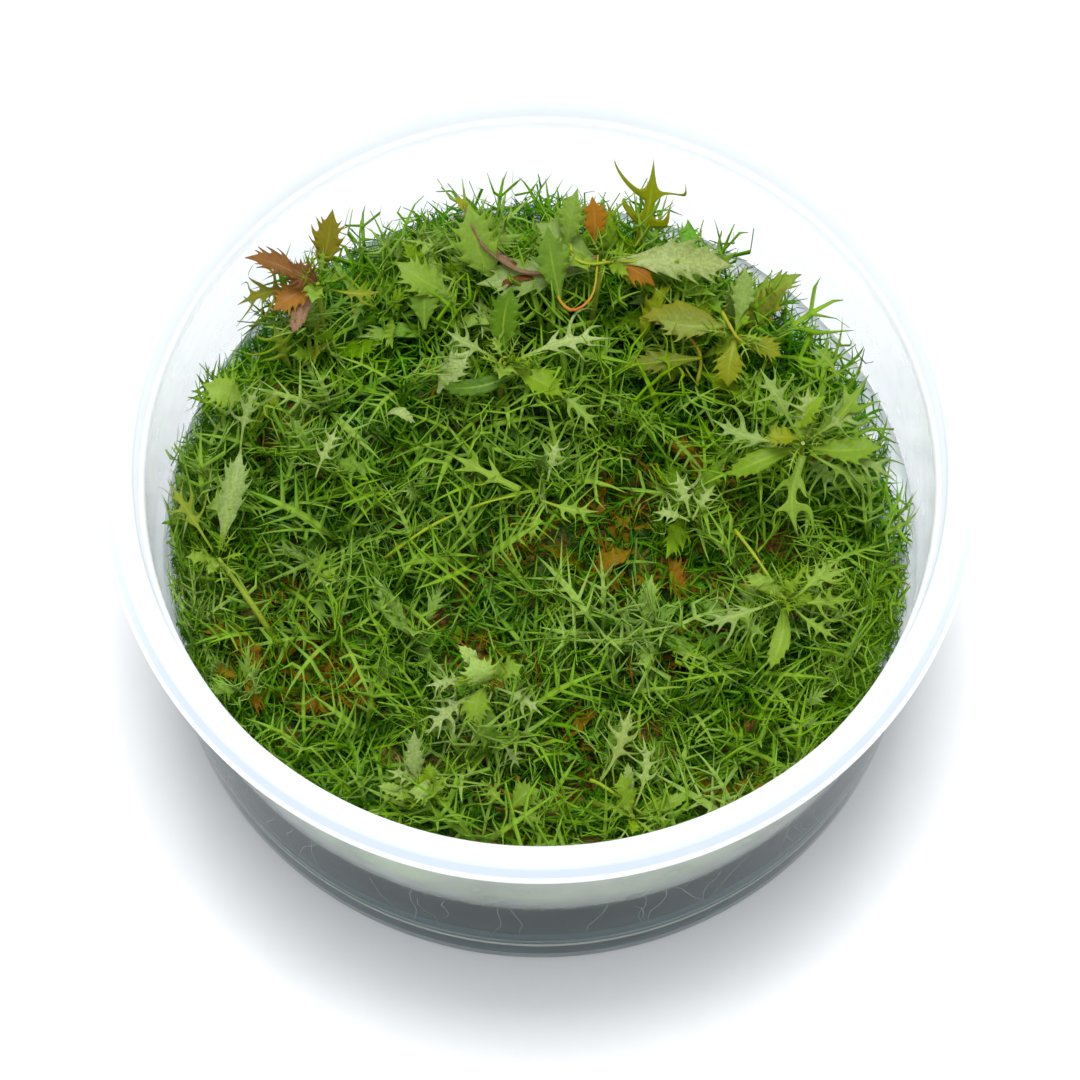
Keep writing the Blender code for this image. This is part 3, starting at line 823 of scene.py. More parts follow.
def scatter(spacing, insetShare, tries=9000):
    # random places that keep their distance, and stand in from the wall at the back
    kept = np.empty((0, 2))
    spots = rng.uniform(-carpet["radius"], carpet["radius"], (tries, 2))
    across, back = spots.T
    inset = sum(room * np.clip((back - start) / 16, 0, 1) for start, room in carpet["inset"])
    inset += carpet["rightInset"] * atRight(across, back)
    limit = carpet["radius"] - insetShare * inset
    for spot in spots[np.hypot(*spots.T) < limit]:
        if len(kept) == 0 or np.min(np.sum((kept - spot) ** 2, 1)) > spacing ** 2:
            kept = np.vstack([kept, spot])
    return kept


def clumpOf(x, y):
    # which bed of the carpet a place is in: -1 for the centre, or the sector's number
    if math.hypot(x, y) < carpet["centreRadius"]:
        return -1
    return round((math.degrees(math.atan2(y, x)) + 60) / 60) % len(sectors)


# wallLean: how much a plantlet leans in for each millimetre past wallFrom. drop: how far below
# the crown the oldest leaf stands. favourite: the share of a plantlet's leaves of one form.
# bright: how much fresher the leaves are towards the right, the back and the front.
growth = {
    "lean": 0.28, "wallFrom": 34, "wallLean": 0.03, "drop": (2.2, 5.0), "vigour": (0.8, 1.15),
    "favourite": 0.7, "bright": (0.24, 0.42, 0.14), "dead": 0.08, "goldenTurn": 2.4,
    "stemRadii": np.array([0.42, 0.32, 0.18]), "stemFresh": 0.8,
}


def growPlantlet(leaves, kind, x, y, above):
    # one stem with leaves in a spiral: young ones upright on top, old ones low and flat
    plan = plantKinds[kind]
    clear = openness(x, y)
    top = carpetHeight(x, y) + above - carpet["clearingDrop"] * clear
    lean = rng.normal(0, growth["lean"], 2)
    radius = math.hypot(x, y)
    if radius > growth["wallFrom"]:
        lean = lean - np.array([x, y]) / radius * (radius - growth["wallFrom"]) * growth["wallLean"]
    height = top - gel["top"]
    foot = np.array([x - lean[0] * height, y - lean[1] * height, gel["top"] + 0.1])
    crown = np.array([x, y, top])
    middle = (foot + crown) / 2 + np.append(rng.normal(0, 0.6, 2), 0)
    leanWay, leanBy = math.atan2(lean[1], lean[0]), min(math.hypot(*lean), 0.6)
    favourite = rng.choice(plan["forms"], p=plan["share"])
    count = rng.integers(*plan["leaves"], endpoint=True)
    spin = rng.uniform(0, 2 * math.pi)
    vigour = rng.uniform(*growth["vigour"])
    right, back, front = growth["bright"]
    bright = right * max(x / 40, 0) + back * max(y / 36, 0) + front * max(-y / 40, 0)
    plantTint = rng.normal(0, 0.14) + plan["fresh"] + bright
    plantSilver = plan["silver"] + (0.5 if rng.uniform() < 0.12 else 0.0)
    low, high = plan["length"]
    for index in range(count):
        age = 1 - (index + 0.5) / count
        spin += growth["goldenTurn"] + rng.normal(0, 0.25)
        drop = age ** 0.8 * rng.uniform(*growth["drop"])
        root = crown + (foot - crown) / max(height, 1) * min(drop, height * 0.8)
        pitch = math.radians(80 - 70 * age ** 0.6 + rng.normal(0, 12))
        pitch -= leanBy * math.cos(spin - leanWay)
        droop = math.radians(-16 - 40 * age + rng.normal(0, 24))
        grown = math.sin(math.pi * min(0.25 + 0.75 * age, 1)) ** 0.8
        length = vigour * (low + (high - low) * grown)
        length *= rng.uniform(0.78, 1.12)
        likeOthers = rng.uniform() < growth["favourite"]
        form = favourite if likeOthers else rng.choice(plan["forms"])
        fresh = np.clip(0.95 - 0.7 * age + plantTint + rng.normal(0, 0.12), 0, 1)
        silver = np.clip(rng.normal(plantSilver, 0.12), 0, 1)
        dead = rng.uniform() < (growth["dead"] + 0.8 * clear) * (age > 0.6)
        brown = rng.uniform(0.7, 1.0) if dead else plan["olive"] * rng.uniform(0.3, 1.2)
        slim = carpet["slim"] if form in ("toothed", "feather") else carpet["lobes"]
        leaves[form].append([
            *root, spin, pitch, droop, length, slim * rng.uniform(0.8, 1.2), rng.normal(0, 0.5),
            rng.uniform(0.0, 0.6), rng.normal(0, 0.16), fresh, silver, brown])
    return [foot, middle, crown]


def dropLitter(leaves, clump):
    # old brown leaves that lie in the clearings
    for x, y, radius in clearings:
        if clumpOf(x, y) == clump:
            for _ in range(round(5 * radius)):
                far, way = radius * rng.uniform(0, 1), rng.uniform(0, 2 * math.pi)
                height = gel["top"] + rng.uniform(1.6, 4.2)
                form = rng.choice(("comb", "feather", "twig", "toothed"))
                leaves[form].append([
                    x + far * math.cos(way), y + far * math.sin(way), height,
                    rng.uniform(0, 2 * math.pi), rng.normal(0.1, 0.2), rng.normal(-0.3, 0.5),
                    rng.uniform(3.5, 6.5), 1.1, rng.normal(0, 0.8), rng.uniform(0.2, 0.8),
                    rng.normal(0, 0.3), 0.5, 0.0, rng.uniform(0.75, 1.0)])


def choosePlaces():
    # kind, x, y and how far the crown is above the carpet, for each plantlet
    plants = []
    for kind in ("tall", "low"):
        plan = plantKinds[kind]
        for x, y in scatter(plan["spacing"], plan["inset"]):
            if openness(x, y) < plan["open"]:
                plants.append((kind, x, y, rng.uniform(*plan["above"])))
    row = carpet["edgeRow"]
    for way in np.radians(np.linspace(row["from"], row["to"], row["count"])):
        radius = rng.uniform(*row["radius"])
        radius -= row["rightIn"] * atRight(radius * math.cos(way), radius * math.sin(way))
        x, y = radius * math.cos(way), radius * math.sin(way)
        plants.append(("edge", x, y, gel["top"] + rng.uniform(*row["height"]) - carpetHeight(x, y)))
    for kind, spots in largerPlants.items():
        plants += [(kind, x, y, above) for x, y, above in spots]
    return plants


def makeCarpet():
    plants = choosePlaces()
    print("plantlets", len(plants))
    for clump in range(-1, len(sectors)):
        here = [plant for plant in plants if clumpOf(plant[1], plant[2]) == clump]
        leaves = {name: [] for name in (*coarse, *medium)}
        stems = [growPlantlet(leaves, *plant) for plant in here]
        dropLitter(leaves, clump)
        parts = []
        for name, found in leaves.items():
            if not found:
                continue
            rows = np.array(found)
            form = coarse.get(name) or medium[name]
            stray = looseness["coarse" if name in coarse else "medium"]
            points = keepInside(bendLeaves(form, rows[:, :3], *rows[:, 3:11].T, stray))
            parts.append(leafRows(form, rows, points, howDeep(points)))
        points, loops, totals, flat = tubes(np.array(stems), growth["stemRadii"])
        points = keepInside(points)
        tint = plainTint(points, growth["stemFresh"])
        # the stems get the same painted shade by depth
        tint[..., 3] = howDeep(points)
        parts.append((points, loops, totals, tint, flat))
        label = "centre" if clump < 0 else sectors[clump]
        piece = joinedMesh("plantlets_" + label, parts)
        place(piece, finishes["carpet"], "carpet", "leaf_bed_" + label)
        leafCount = sum(len(found) for found in leaves.values())
        print(piece.name, len(here), "plantlets", leafCount, "leaves")


def howDeep(points):
    # 0 at the tips of the carpet, 1 well down in it: how much painted shade a point gets
    surface = carpetHeight(points[..., 0], points[..., 1]) + 2.4
    return np.clip((surface - points[..., 2]) / 5.5, 0, 1)


makeCarpet()


# the thatch of old leaves under the carpet
# ragged: how deep its edge is torn, from raggedFrom in y on. rightIn: how far it stands in
# from the wall at the right.
thatch = {
    "radius": 43.3, "top": 22.8, "forward": 0.6, "rings": 52, "segments": 120,
    "ragged": 2.4, "raggedFrom": -24.0, "rightIn": 3.4,
}


def share(distance, whole):
    return min(max(distance / whole, 0.0), 1.0)


def makeThatch():
    outer, top, bottom = thatch["radius"], thatch["top"], gel["top"] + 0.3
    start = (1.0, top)
    piece = startRing("oldLeafThatch", thatch["segments"], *start, "TRIFAN")
    pick("edges", lambda edge: edge.is_boundary)
    rings = [(radius, top) for radius in np.linspace(2.0, outer - 0.6, thatch["rings"])]
    drawRings(rings + [(outer, top - 0.6), (outer, bottom), (0.0, bottom)], start)
    faceOutwards()
    for vert in piece.data.vertices:
        x, y, z = (value / mm for value in vert.co)
        radius, way = math.hypot(x, y), math.atan2(y, x)
        if z > top - 0.1:
            fade = share(outer - radius, 4.0)
            bumps = math.sin(x * 1.7 + 2 * math.sin(y * 0.9))
            bumps *= math.cos(y * 1.5 - math.sin(x * 1.1))
            vert.co.z += (1.1 * bumps + 0.5 * math.sin(x * 3.1 + y * 2.3)) * fade * mm
        # the edge is ragged except at the front, where it lies against the wall
        torn = share(radius - 37, 6) * share(y - thatch["raggedFrom"], 12)
        wave = (0.5 + 0.3 * math.sin(way * 61) + 0.2 * math.sin(way * 37 + 2)) * torn
        inward = thatch["rightIn"] * atRight(x, y) * share(radius - 25, 18)
        shrink = 1 - (thatch["ragged"] * wave + inward) / max(radius, 1.0)
        vert.co.x *= shrink
        vert.co.y = vert.co.y * shrink - thatch["forward"] * mm
    return piece


def thatchFinish():
    material, kit, where = newMaterial("oldThatch")
    patches = where.noise(160.0, 4.0)
    settings = {"feature": "DISTANCE_TO_EDGE"}
    fibres = kit.node("ShaderNodeTexVoronoi", settings, {"Vector": where, "Scale": 900.0})
    colour = patches.ramp(0.45, 0.62).mixed(rgb(0.038, 0.16, 0.003), rgb(0.30, 0.12, 0.015))
    colour = fibres.ramp(0.0, 0.12, 1.0, 0.0).mixed(colour, rgb(0.06, 0.09, 0.02))
    # lighter green at its outer edge
    outer = where.reach().ramp(0.0445, 0.0475)
    colour = (outer * 0.8).mixed(colour, rgb(0.13, 0.30, 0.004))
    bump = kit.node("ShaderNodeBump", None, {"Strength": 0.9, "Distance": 0.0005, "Height": fibres})
    return finishMaterial(material, kit.node("ShaderNodeBsdfPrincipled", None, {
        "Base Color": colour, "Roughness": 0.75, "Normal": bump}))


place(makeThatch(), thatchFinish(), "carpet")
print("thatch")


# the larger shoots
# Each shoot: foot, crown, and its leaves as name, form, tip, width, arch, roll, root height,
# slot, fresh, silver, and brown where it has any.
shoots = {
    "back_left": ((-25.6, 23.0), (-26.0, 25.3, 40.0), [
        ("upright", "toothed", (-24.1, 31.8, 46.4), 4.6, 0.4, 8, 40.2, "leaf_olive", 0.4, 0.1, 0.3),
        ("rust", "toothed", (-34.4, 26.6, 44.2), 4.6, 1.0, -20, 39.6, "leaf_rust", 0.4, 0.1),
        ("short", "lance", (-29.0, 20.4, 36.6), 2.0, 0.5, 10, 38.6, "leaf_rust", 0.5, 0.7),
        ("drooping", "lobed", (-35.6, 24.2, 36.4), 7.0, 1.4, 0, 38.0, "leaf_olive", 0.5, 0.2, 0.2),
        ("inner", "lobed", (-18.4, 25.2, 38.0), 5.0, 0.6, 0, 38.4, "leaf_olive", 0.7, 0.1),
    ]),
    "right_edge": ((30.6, 8.0), (30.4, 5.5, 38.6), [
        ("lance", "lance", (21.7, 2.4, 36.4), 2.8, 0.5, 0, 37.6, "leaf", 0.7, 0.1),
        ("left", "lobed", (19.6, 9.3, 37.4), 6.2, 0.5, 0, 37.4, "leaf_silver", 0.6, 0.5),
        ("back", "lobed", (25.4, 14.0, 41.0), 6.6, 0.4, 0, 38.2, "leaf_silver", 0.7, 0.4),
        ("top", "lance", (31.4, 9.9, 42.2), 2.0, 0.3, 0, 38.6, "leaf", 0.9, 0.2),
        ("antler", "antler", (37.9, 12.4, 42.4), 7.0, 0.3, 0, 38.0, "leaf", 0.7, 0.3),
        ("serrated", "toothed", (39.8, 5.0, 38.6), 4.6, 0.5, 0, 37.3, "leaf", 0.7, 0.2),
        ("low", "lobed", (39.2, 1.0, 35.6), 6.0, 0.6, 0, 36.8, "leaf", 0.5, 0.3),
        ("front", "antler", (30.0, -4.6, 34.0), 6.6, 0.6, 0, 37.4, "leaf", 0.7, 0.3),
    ]),
    "front_left": ((-5.2, -20.8), (-6.1, -21.9, 33.6), [
        ("left", "lobed", (-13.3, -22.6, 33.4), 5.0, 0.4, 0, 33.2, "leaf_silver", 0.5, 0.8),
        ("low", "lobed", (-13.0, -27.8, 31.2), 6.0, 0.4, 0, 32.2, "leaf_silver", 0.4, 0.9),
        ("blade", "toothed", (-6.4, -30.0, 32.4), 3.6, 0.5, 20, 32.8, "leaf", 0.3, 0.1),
        ("right", "lobed", (0.4, -25.9, 32.6), 5.0, 0.4, 0, 32.8, "leaf_silver", 0.5, 0.7),
        ("curled", "lance", (-9.4, -18.6, 36.2), 1.8, 0.9, 0, 33.6, "leaf", 0.8, 0.9),
    ]),
    "back_centre": ((6.0, 25.0), (7.5, 28.6, 39.4), [
        ("striped", "toothed", (23, 28.6, 37.6), 6.0, 0.8, -14, 38.8, "leaf_silver", 0.4, 0.9, 0.1),
        ("broad", "toothed", (-0.6, 33.0, 40.4), 6.6, 0.5, 0, 38.2, "leaf_silver", 0.7, 0.35),
        ("silver", "toothed", (-7.6, 26.4, 37.4), 5.4, 0.5, 0, 37.2, "leaf_silver", 0.5, 0.6),
        ("crescent", "lance", (-9.0, 33.9, 43.4), 3.0, -4.8, -40, 39.4, "leaf_rust", 0.15, 0.6),
    ]),
    "middle": ((-5.0, 14.0), (-4.1, 16.6, 36.6), [
        ("upright", "toothed", (-3.2, 24.4, 41.2), 5.0, 0.4, 0, 36.6, "leaf", 0.25, 0.05),
        ("silver", "lobed", (8.4, 19.4, 37.4), 6.4, 0.4, 0, 36.4, "leaf_silver", 0.5, 0.9),
        ("bright", "toothed", (2.8, 12.8, 35.4), 4.6, 0.4, 0, 36.0, "leaf", 0.9, 0.1),
        ("back", "lobed", (-11.4, 20.6, 37.6), 5.0, 0.4, 0, 36.2, "leaf_silver", 0.5, 0.6),
    ]),
    "back_right": ((21.6, 17.6), (22.8, 20.0, 37.6), [
        ("upright", "toothed", (23.9, 26.4, 42.4), 3.6, 0.3, 0, 37.8, "leaf_silver", 0.8, 0.5),
        ("long", "lance", (11.8, 22.5, 36.6), 3.8, 0.6, 0, 37.2, "leaf_olive", 0.7, 0.2, 0.1),
        ("low", "toothed", (28.4, 17.6, 36.0), 3.6, 0.4, 0, 37.0, "leaf_olive", 0.8, 0.1),
    ]),
    "left": ((-29.0, -16.3), (-37.2, -6.8, 33.6), [
        ("tall", "lobed", (-43.2, 1.8, 36.8), 4.6, 0.5, 0, 33.4, "leaf", 0.7, 0.2, 0.2),
        ("back", "toothed", (-34.6, 5.6, 37.2), 4.0, 0.6, 0, 33.6, "leaf_silver", 0.4, 0.6),
    ]),
    "front_edge": ((-13.0, -33.4), (-13.6, -35.2, 31.6), [
        ("upright", "toothed", (-14.2, -28.8, 36.4), 2.8, 0.3, 0, 31.6, "leaf_silver", 0.4, 0.7),
        ("curled", "lance", (-18.4, -34.6, 33.4), 1.6, 0.6, 0, 31.2, "leaf", 0.8, 0.6),
    ]),
    "front": ((5.0, -33.0), (10.6, -37.6, 31.4), [
        ("pale", "lobed", (11.6, -28.8, 34.6), 4.6, 0.5, 0, 31.6, "leaf_silver", 0.8, 0.7),
        ("side", "lance", (17.0, -35.2, 32.4), 1.8, 0.4, 0, 31.2, "leaf", 0.8, 0.2),
    ]),
    "front_right": ((22.2, -6.4), (28.2, -12.2, 34.6), [
        ("left", "lobed", (18.4, -15.6, 34.0), 6.0, 0.4, 0, 34.2, "leaf_silver", 0.6, 0.5),
        ("right", "lobed", (36.0, -9.0, 36.4), 5.0, 0.4, 0, 34.4, "leaf", 0.7, 0.4),
        ("low", "lobed", (34.4, -16.6, 32.6), 4.6, 0.4, 0, 33.6, "leaf", 0.7, 0.3),
        ("front", "lance", (26.4, -20.4, 33.0), 2.4, 0.4, 0, 33.8, "leaf", 0.8, 0.2),
    ]),
}
# one tall leaf that stands on its own: form, root, tip, width, arch, roll, fresh, silver, brown
tallAntler = ("antler", (11.6, 33.2, 33.4), (13.4, 40.6, 42.0), 8.2, 0.3, 0, 1.0, 0.0)
# reach: how far from the stem's middle a leaf starts. stemLean: how much a stem bows.
larger = {
    "reach": 1.05, "lobedWidth": 1.2, "wall": 45.0,
    "stemRadius": 0.4, "stemPoints": 9, "stemLean": 0.25, "stemTint": [0.7, 0.2, 0.0, 0.0],
}


def leafPoints(flat, root, tip, width, arch, roll, stray):
    # one larger leaf from root to tip, bowed by arch and turned by roll, in millimetres
    root, tip = np.array(root, dtype=float), np.array(tip, dtype=float)
    length = np.linalg.norm(tip - root)
    ahead = (tip - root) / length
    level = np.cross(ahead, [0, 0, 1])
    level /= np.linalg.norm(level)
    upward = np.cross(level, ahead)
    along = np.clip(flat[:, 1], 0, 1.1)
    across = flat[:, 0] / np.abs(flat[:, 0]).max() * width / 2
    twist, sweep, phase = rng.normal(0, 0.3), rng.normal(0, 0.05), rng.uniform(0, 6.28)
    turn = (math.radians(roll) + twist * (along - 0.4))[:, None]
    sideWay = level * np.cos(turn) + upward * np.sin(turn)
    faceWay = upward * np.cos(turn) - level * np.sin(turn)
    ripple = 0.05 * np.sin(along * 14 + phase) * np.abs(across)
    fold = 0.3 * np.abs(across) - 0.05 * across ** 2
    lift = 4 * along * (1 - along) * arch + flat[:, 2] * length + fold + ripple
    shift = across + sweep * length * np.sin(math.pi * along)
    points = root + along[:, None] * length * ahead
    points = points + shift[:, None] * sideWay + lift[:, None] * faceWay
    return points + lobeStray(flat, np.abs(across), stray, 1)[0]


def leafPart(form, root, tip, width, arch, roll, fresh, silver, brown=0.0):
    shape = fine[form]
    flat = shape["points"]
    width *= larger["lobedWidth"] if form == "lobed" else 1
    tint = np.zeros((1, len(flat), 4))
    tint[..., 0], tint[..., 1], tint[..., 2] = fresh, silver, brown
    stray = looseness["blade" if form in ("toothed", "lance") else "lobed"]
    points = keepInside(leafPoints(flat, root, tip, width, arch, roll, stray)[None], larger["wall"])
    return points, shape["loops"], shape["totals"], tint, flat[:, :2] + [0.5, 0]


def makeShoots():
    for shoot, (foot, crown, leaves) in shoots.items():
        for label, form, tip, width, arch, roll, rootHeight, slot, *tints in leaves:
            outward = Vector((tip[0] - crown[0], tip[1] - crown[1], 0)).normalized()
            outward *= larger["reach"]
            root = (crown[0] + outward.x, crown[1] + outward.y, rootHeight)
            node = "leaf_" + shoot + "_" + label
            part = leafPart(form, root, tip, width, arch, roll, *tints)
            place(joinedMesh("visible_" + node, [part]), finishes[slot], slot, node)
        makeStem("stem_" + shoot, foot, crown)
    part, slot = leafPart(*tallAntler), "leaf_olive"
    place(joinedMesh("visible_leaf_tall_antler", [part]), finishes[slot], slot, "leaf_tall_antler")


def makeStem(node, foot, crown):
    # a jointed stem: a thin path with thicker points where leaves sat
    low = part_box(node)[0].z / mm
    start = Vector((foot[0], foot[1], min(low, carpetHeight(*foot) - 3.0)))
    end = Vector(crown)
    steps = larger["stemPoints"]
    deselect()
    bpy.ops.curve.primitive_nurbs_path_add(radius=1)
    piece = bpy.context.object
    piece.location = (0, 0, 0)
    curve = piece.data
    spline = curve.splines[0]
    spline.points.add(steps - len(spline.points))
    lean = Vector((0, 0, larger["stemLean"] * (end - start).length))
    middle = start.lerp((start + end) / 2 + lean, 0.8)
    for index, point in enumerate(spline.points):
        part = index / (steps - 1)
        spot = start.lerp(middle, part).lerp(middle.lerp(end, part), part)
        point.co = (*(spot * mm), 1)
        point.radius = (1.2 if index % 3 == 2 else 0.9) * (1 - 0.5 * part ** 3)
    curve.bevel_depth = larger["stemRadius"] * mm
    curve.bevel_resolution = 3
    curve.use_fill_caps = True
    spline.use_endpoint_u = True
    bpy.ops.object.convert(target="MESH")
    piece = bpy.context.object
    piece.name = piece.data.name = "visible_" + node
    mesh = piece.data
    while mesh.uv_layers:
        mesh.uv_layers.remove(mesh.uv_layers[0])
    points, loops = readMesh(mesh)
    flat = np.stack([np.full(len(loops), 0.9), (points[loops, 2] - points[:, 2].min()) * 50], 1)
    addTint(mesh, np.tile(larger["stemTint"], len(mesh.vertices)), flat)
    place(piece, finishes["stem"], "stem", node)


makeShoots()
print("larger shoots")


# more leaves and thin stems of the larger shoots
# by slot and name: form, root, tip, width, arch, roll, fresh, silver, brown
looseLeaves = {
    "leaf": {
        "backBroad": ("toothed", (-4.7, 27.0, 36), (-8.4, 34.1, 43.6), 6.4, 0.9, 15, 0.75, 0.35),
        "backGreen": ("toothed", (2.3, 24.1, 38), (0.9, 30.8, 44), 5.2, 0.6, -10, 0.35, 0.2),
        "backSerrated": ("toothed", (3.1, 30.1, 39), (4.4, 34.9, 45.6), 4.2, 0.5, 12, 0.7, 0.45),
        "backLeftLow": ("toothed", (-13.6, 22.1, 34), (-13.6, 27.4, 36.5), 4.4, 0.6, 0, 0.45, 0.2),
        "backLeftWide": ("toothed", (-10.0, 25.5, 35), (-17.1, 29.1, 38), 5.4, 0.7, 0, 0.75, 0.3),
        "middleFork": ("lobed", (0.6, 13.9, 35.6), (7.0, 9.0, 33.4), 5.0, 0.5, 0, 0.6, 0.4),
        "middleLance": ("lance", (-2.8, 15.5, 36), (-11.5, 14.0, 35.2), 2.3, 0.9, 10, 0.1, 0.1),
        "rightBright": ("toothed", (29.6, 6.7, 39), (32.9, 9.5, 43), 4.2, 0.7, 12, 1.0, 0.15),
        "rightFar": ("lobed", (34.7, 13.8, 38), (31.6, 17.4, 40), 5.4, 0.5, 0, 0.6, 0.3),
        "leftCurl": ("toothed", (-38.8, -0.4, 33.4), (-34.3, 1.2, 35.4), 3.4, 1.5, -20, 1.0, 0.6),
        "leftBright": ("toothed", (-34.6, 13.0, 34), (-39.5, 13.9, 36.6), 5.0, 1.2, 20, 1.0, 0.4),
        "leftStar": ("lobed", (-26.7, -9.5, 31), (-22.9, -7.5, 33), 6.2, 0.5, 0, 0.8, 0.3),
        "leftStarTwo": ("lobed", (-26.9, -9.7, 31), (-24.7, -5.4, 34), 4.8, 0.4, 0, 0.5, 0.1),
        "frontHeart1": ("toothed", (-6.4, -22.3, 33.4), (-8, -19.9, 36.4), 5.2, 1.6, 20, 0.95, 0.8),
        "frontHeart2": (
            "toothed", (-6.2, -22.5, 33.4), (-6.6, -27.8, 33.4), 4.4, 1.2, -20, 0.8, 0.25),
        "frontCup": ("toothed", (-12.3, -35.2, 31), (-15.0, -35.0, 32.4), 4.4, 1.4, 0, 1.0, 0.9),
        "frontStarA": ("lobed", (-3.6, -36.3, 30.6), (-6.8, -33.2, 31.6), 5.0, 0.5, 0, 0.7, 0.2),
        "frontStarB": ("toothed", (-3.2, -36.3, 30.6), (0.0, -34.3, 31.2), 4.6, 0.7, 0, 0.6, 0.2),
        "frontStarC": ("lobed", (-3.2, -36.5, 30.6), (0.6, -38.1, 29.6), 4.8, 0.5, 0, 0.8, 0.3),
        "rightCrest": ("lobed", (29.0, -12.4, 34.6), (34.5, -7.8, 35.6), 5.8, 0.6, 0, 0.8, 0.4),
        "rightCrestTwo": ("lobed", (28.7, -13.1, 34.4), (36.4, -12.2, 34), 5.4, 0.6, 0, 0.7, 0.2),
        "centreWide": ("lobed", (0.0, 0.7, 33), (7.0, -1.0, 33.6), 5.2, 0.6, 0, 0.8, 0.3),
        "centreArm": ("antler", (-2.3, 2.0, 33), (-11.2, 6.4, 34), 5.0, 0.8, 0, 0.9, 0.3),
        "centreTwo": ("lobed", (0.6, 0.3, 32.6), (-1.2, -4.3, 31.6), 5.0, 0.6, 0, 0.9, 0.2),
    },
    "leaf_silver": {
        "middleSilver": ("toothed", (-12, 14, 33.6), (-8.2, 17.9, 37.4), 4.4, 0.6, 10, 0.5, 0.95),
        "middleCurl": ("lance", (-18.3, 11.0, 33.4), (-14.5, 10.2, 33.6), 1.6, 1.6, 20, 0.8, 1.0),
        "rightUp": ("lobed", (30.8, 6.1, 38.8), (30.9, 10.8, 43), 6.4, 0.5, 0, 0.7, 0.8),
        "rightWing": ("lobed", (31.4, 5.8, 38.8), (38.4, 9.8, 40.6), 5.6, 0.5, 0, 0.6, 0.6),
        "rightLow": ("lobed", (31.8, 4.9, 37.4), (41.2, 1.6, 36.4), 6.6, 0.6, 0, 0.6, 0.5),
        "leftGrey": ("lobed", (-34.9, 6.2, 35), (-32.3, 13.1, 39), 4.6, 0.5, 0, 0.1, 0.55),
        "leftBranch": ("lobed", (-26.2, 3.5, 33), (-23.5, 9.1, 36), 4.2, 0.6, 0, 0.6, 0.8),
        "frontFar": ("lobed", (-5.5, -22.9, 32.6), (-8.0, -28.5, 30.6), 5.0, 0.4, 0, 0.5, 0.9),
        "frontSilver": ("lobed", (-4.6, -28.1, 30), (-2.3, -30.9, 29), 4.6, 0.5, 0, 0.5, 0.8),
        "frontPale": ("lobed", (-12.7, -34.6, 31.4), (-17.6, -32.5, 33), 5.2, 0.5, 0, 0.6, 0.7),
        "frontBranch": ("lobed", (6.8, -33.3, 31), (10.5, -25.1, 34.4), 5.4, 0.7, 0, 0.9, 0.6, 0.1),
        "frontArm": ("lance", (10.0, -35.9, 30.4), (10.0, -31.6, 33), 1.4, 0.5, 0, 0.9, 0.6),
        "rightTuft": ("lobed", (17.4, -2.0, 33), (13.0, -1.2, 34), 5.2, 0.6, 0, 0.7, 0.7),
        "rightTuftTwo": ("lobed", (17.7, -1.8, 33), (20.4, 2.1, 34.6), 5.0, 0.5, 0, 0.7, 0.6),
        "rightTuftTop": ("lobed", (17.4, -1.5, 33), (15.8, 3.5, 35.4), 5.4, 0.5, 0, 0.6, 0.8),
        "centreSilver": ("lobed", (0.9, 3.0, 33), (2.3, 7.6, 35.4), 4.8, 0.6, 10, 0.5, 0.8),
    },
    "leaf_olive": {
        "backYellowTip": ("lance", (-6.8, 32.8, 41), (-10.1, 35.0, 43.4), 1.3, 0.5, 0, 1.0, 0.0),
        "oliveLeft": ("toothed", (21.8, 20.7, 38), (13.3, 21.8, 38.4), 4.4, 0.7, 10, 0.6, 0.4),
        "oliveDown": ("toothed", (22.8, 19.4, 37), (22.0, 14.3, 34.6), 4.4, 0.7, 0, 0.95, 0.1),
        "oliveLong": ("toothed", (19.0, 17.8, 35.4), (9.8, 16.4, 35.4), 3.4, 0.8, 0, 0.3, 0.1),
        "rightHeart": ("toothed", (30.0, 5.7, 39), (25.8, 5.6, 40), 3.4, 0.8, -14, 1.0, 0.1),
    },
    "leaf_rust": {
        "backMaroon": ("toothed", (0.9, 26.7, 37.4), (-5.9, 26.7, 37), 3.6, 0.7, 0, 0.1, 0.0),
        "backOrange": ("toothed", (6.3, 30.7, 39.5), (6.1, 34.9, 43.6), 3.8, 0.6, -8, 1.0, 0.0),
        "backAmber": ("toothed", (7.3, 28.9, 38.4), (13.6, 25.8, 38), 4.4, 0.8, 10, 0.75, 0.0),
        "leftRust": ("toothed", (-25.8, 25.7, 38), (-31.4, 22.4, 38.4), 4.6, 1.0, 0, 0.95, 0.1),
        "leftRustTwo": ("toothed", (-26.0, 25.4, 39), (-29.8, 27.1, 42), 4.2, 1.2, 30, 0.2, 0.1),
    },
}
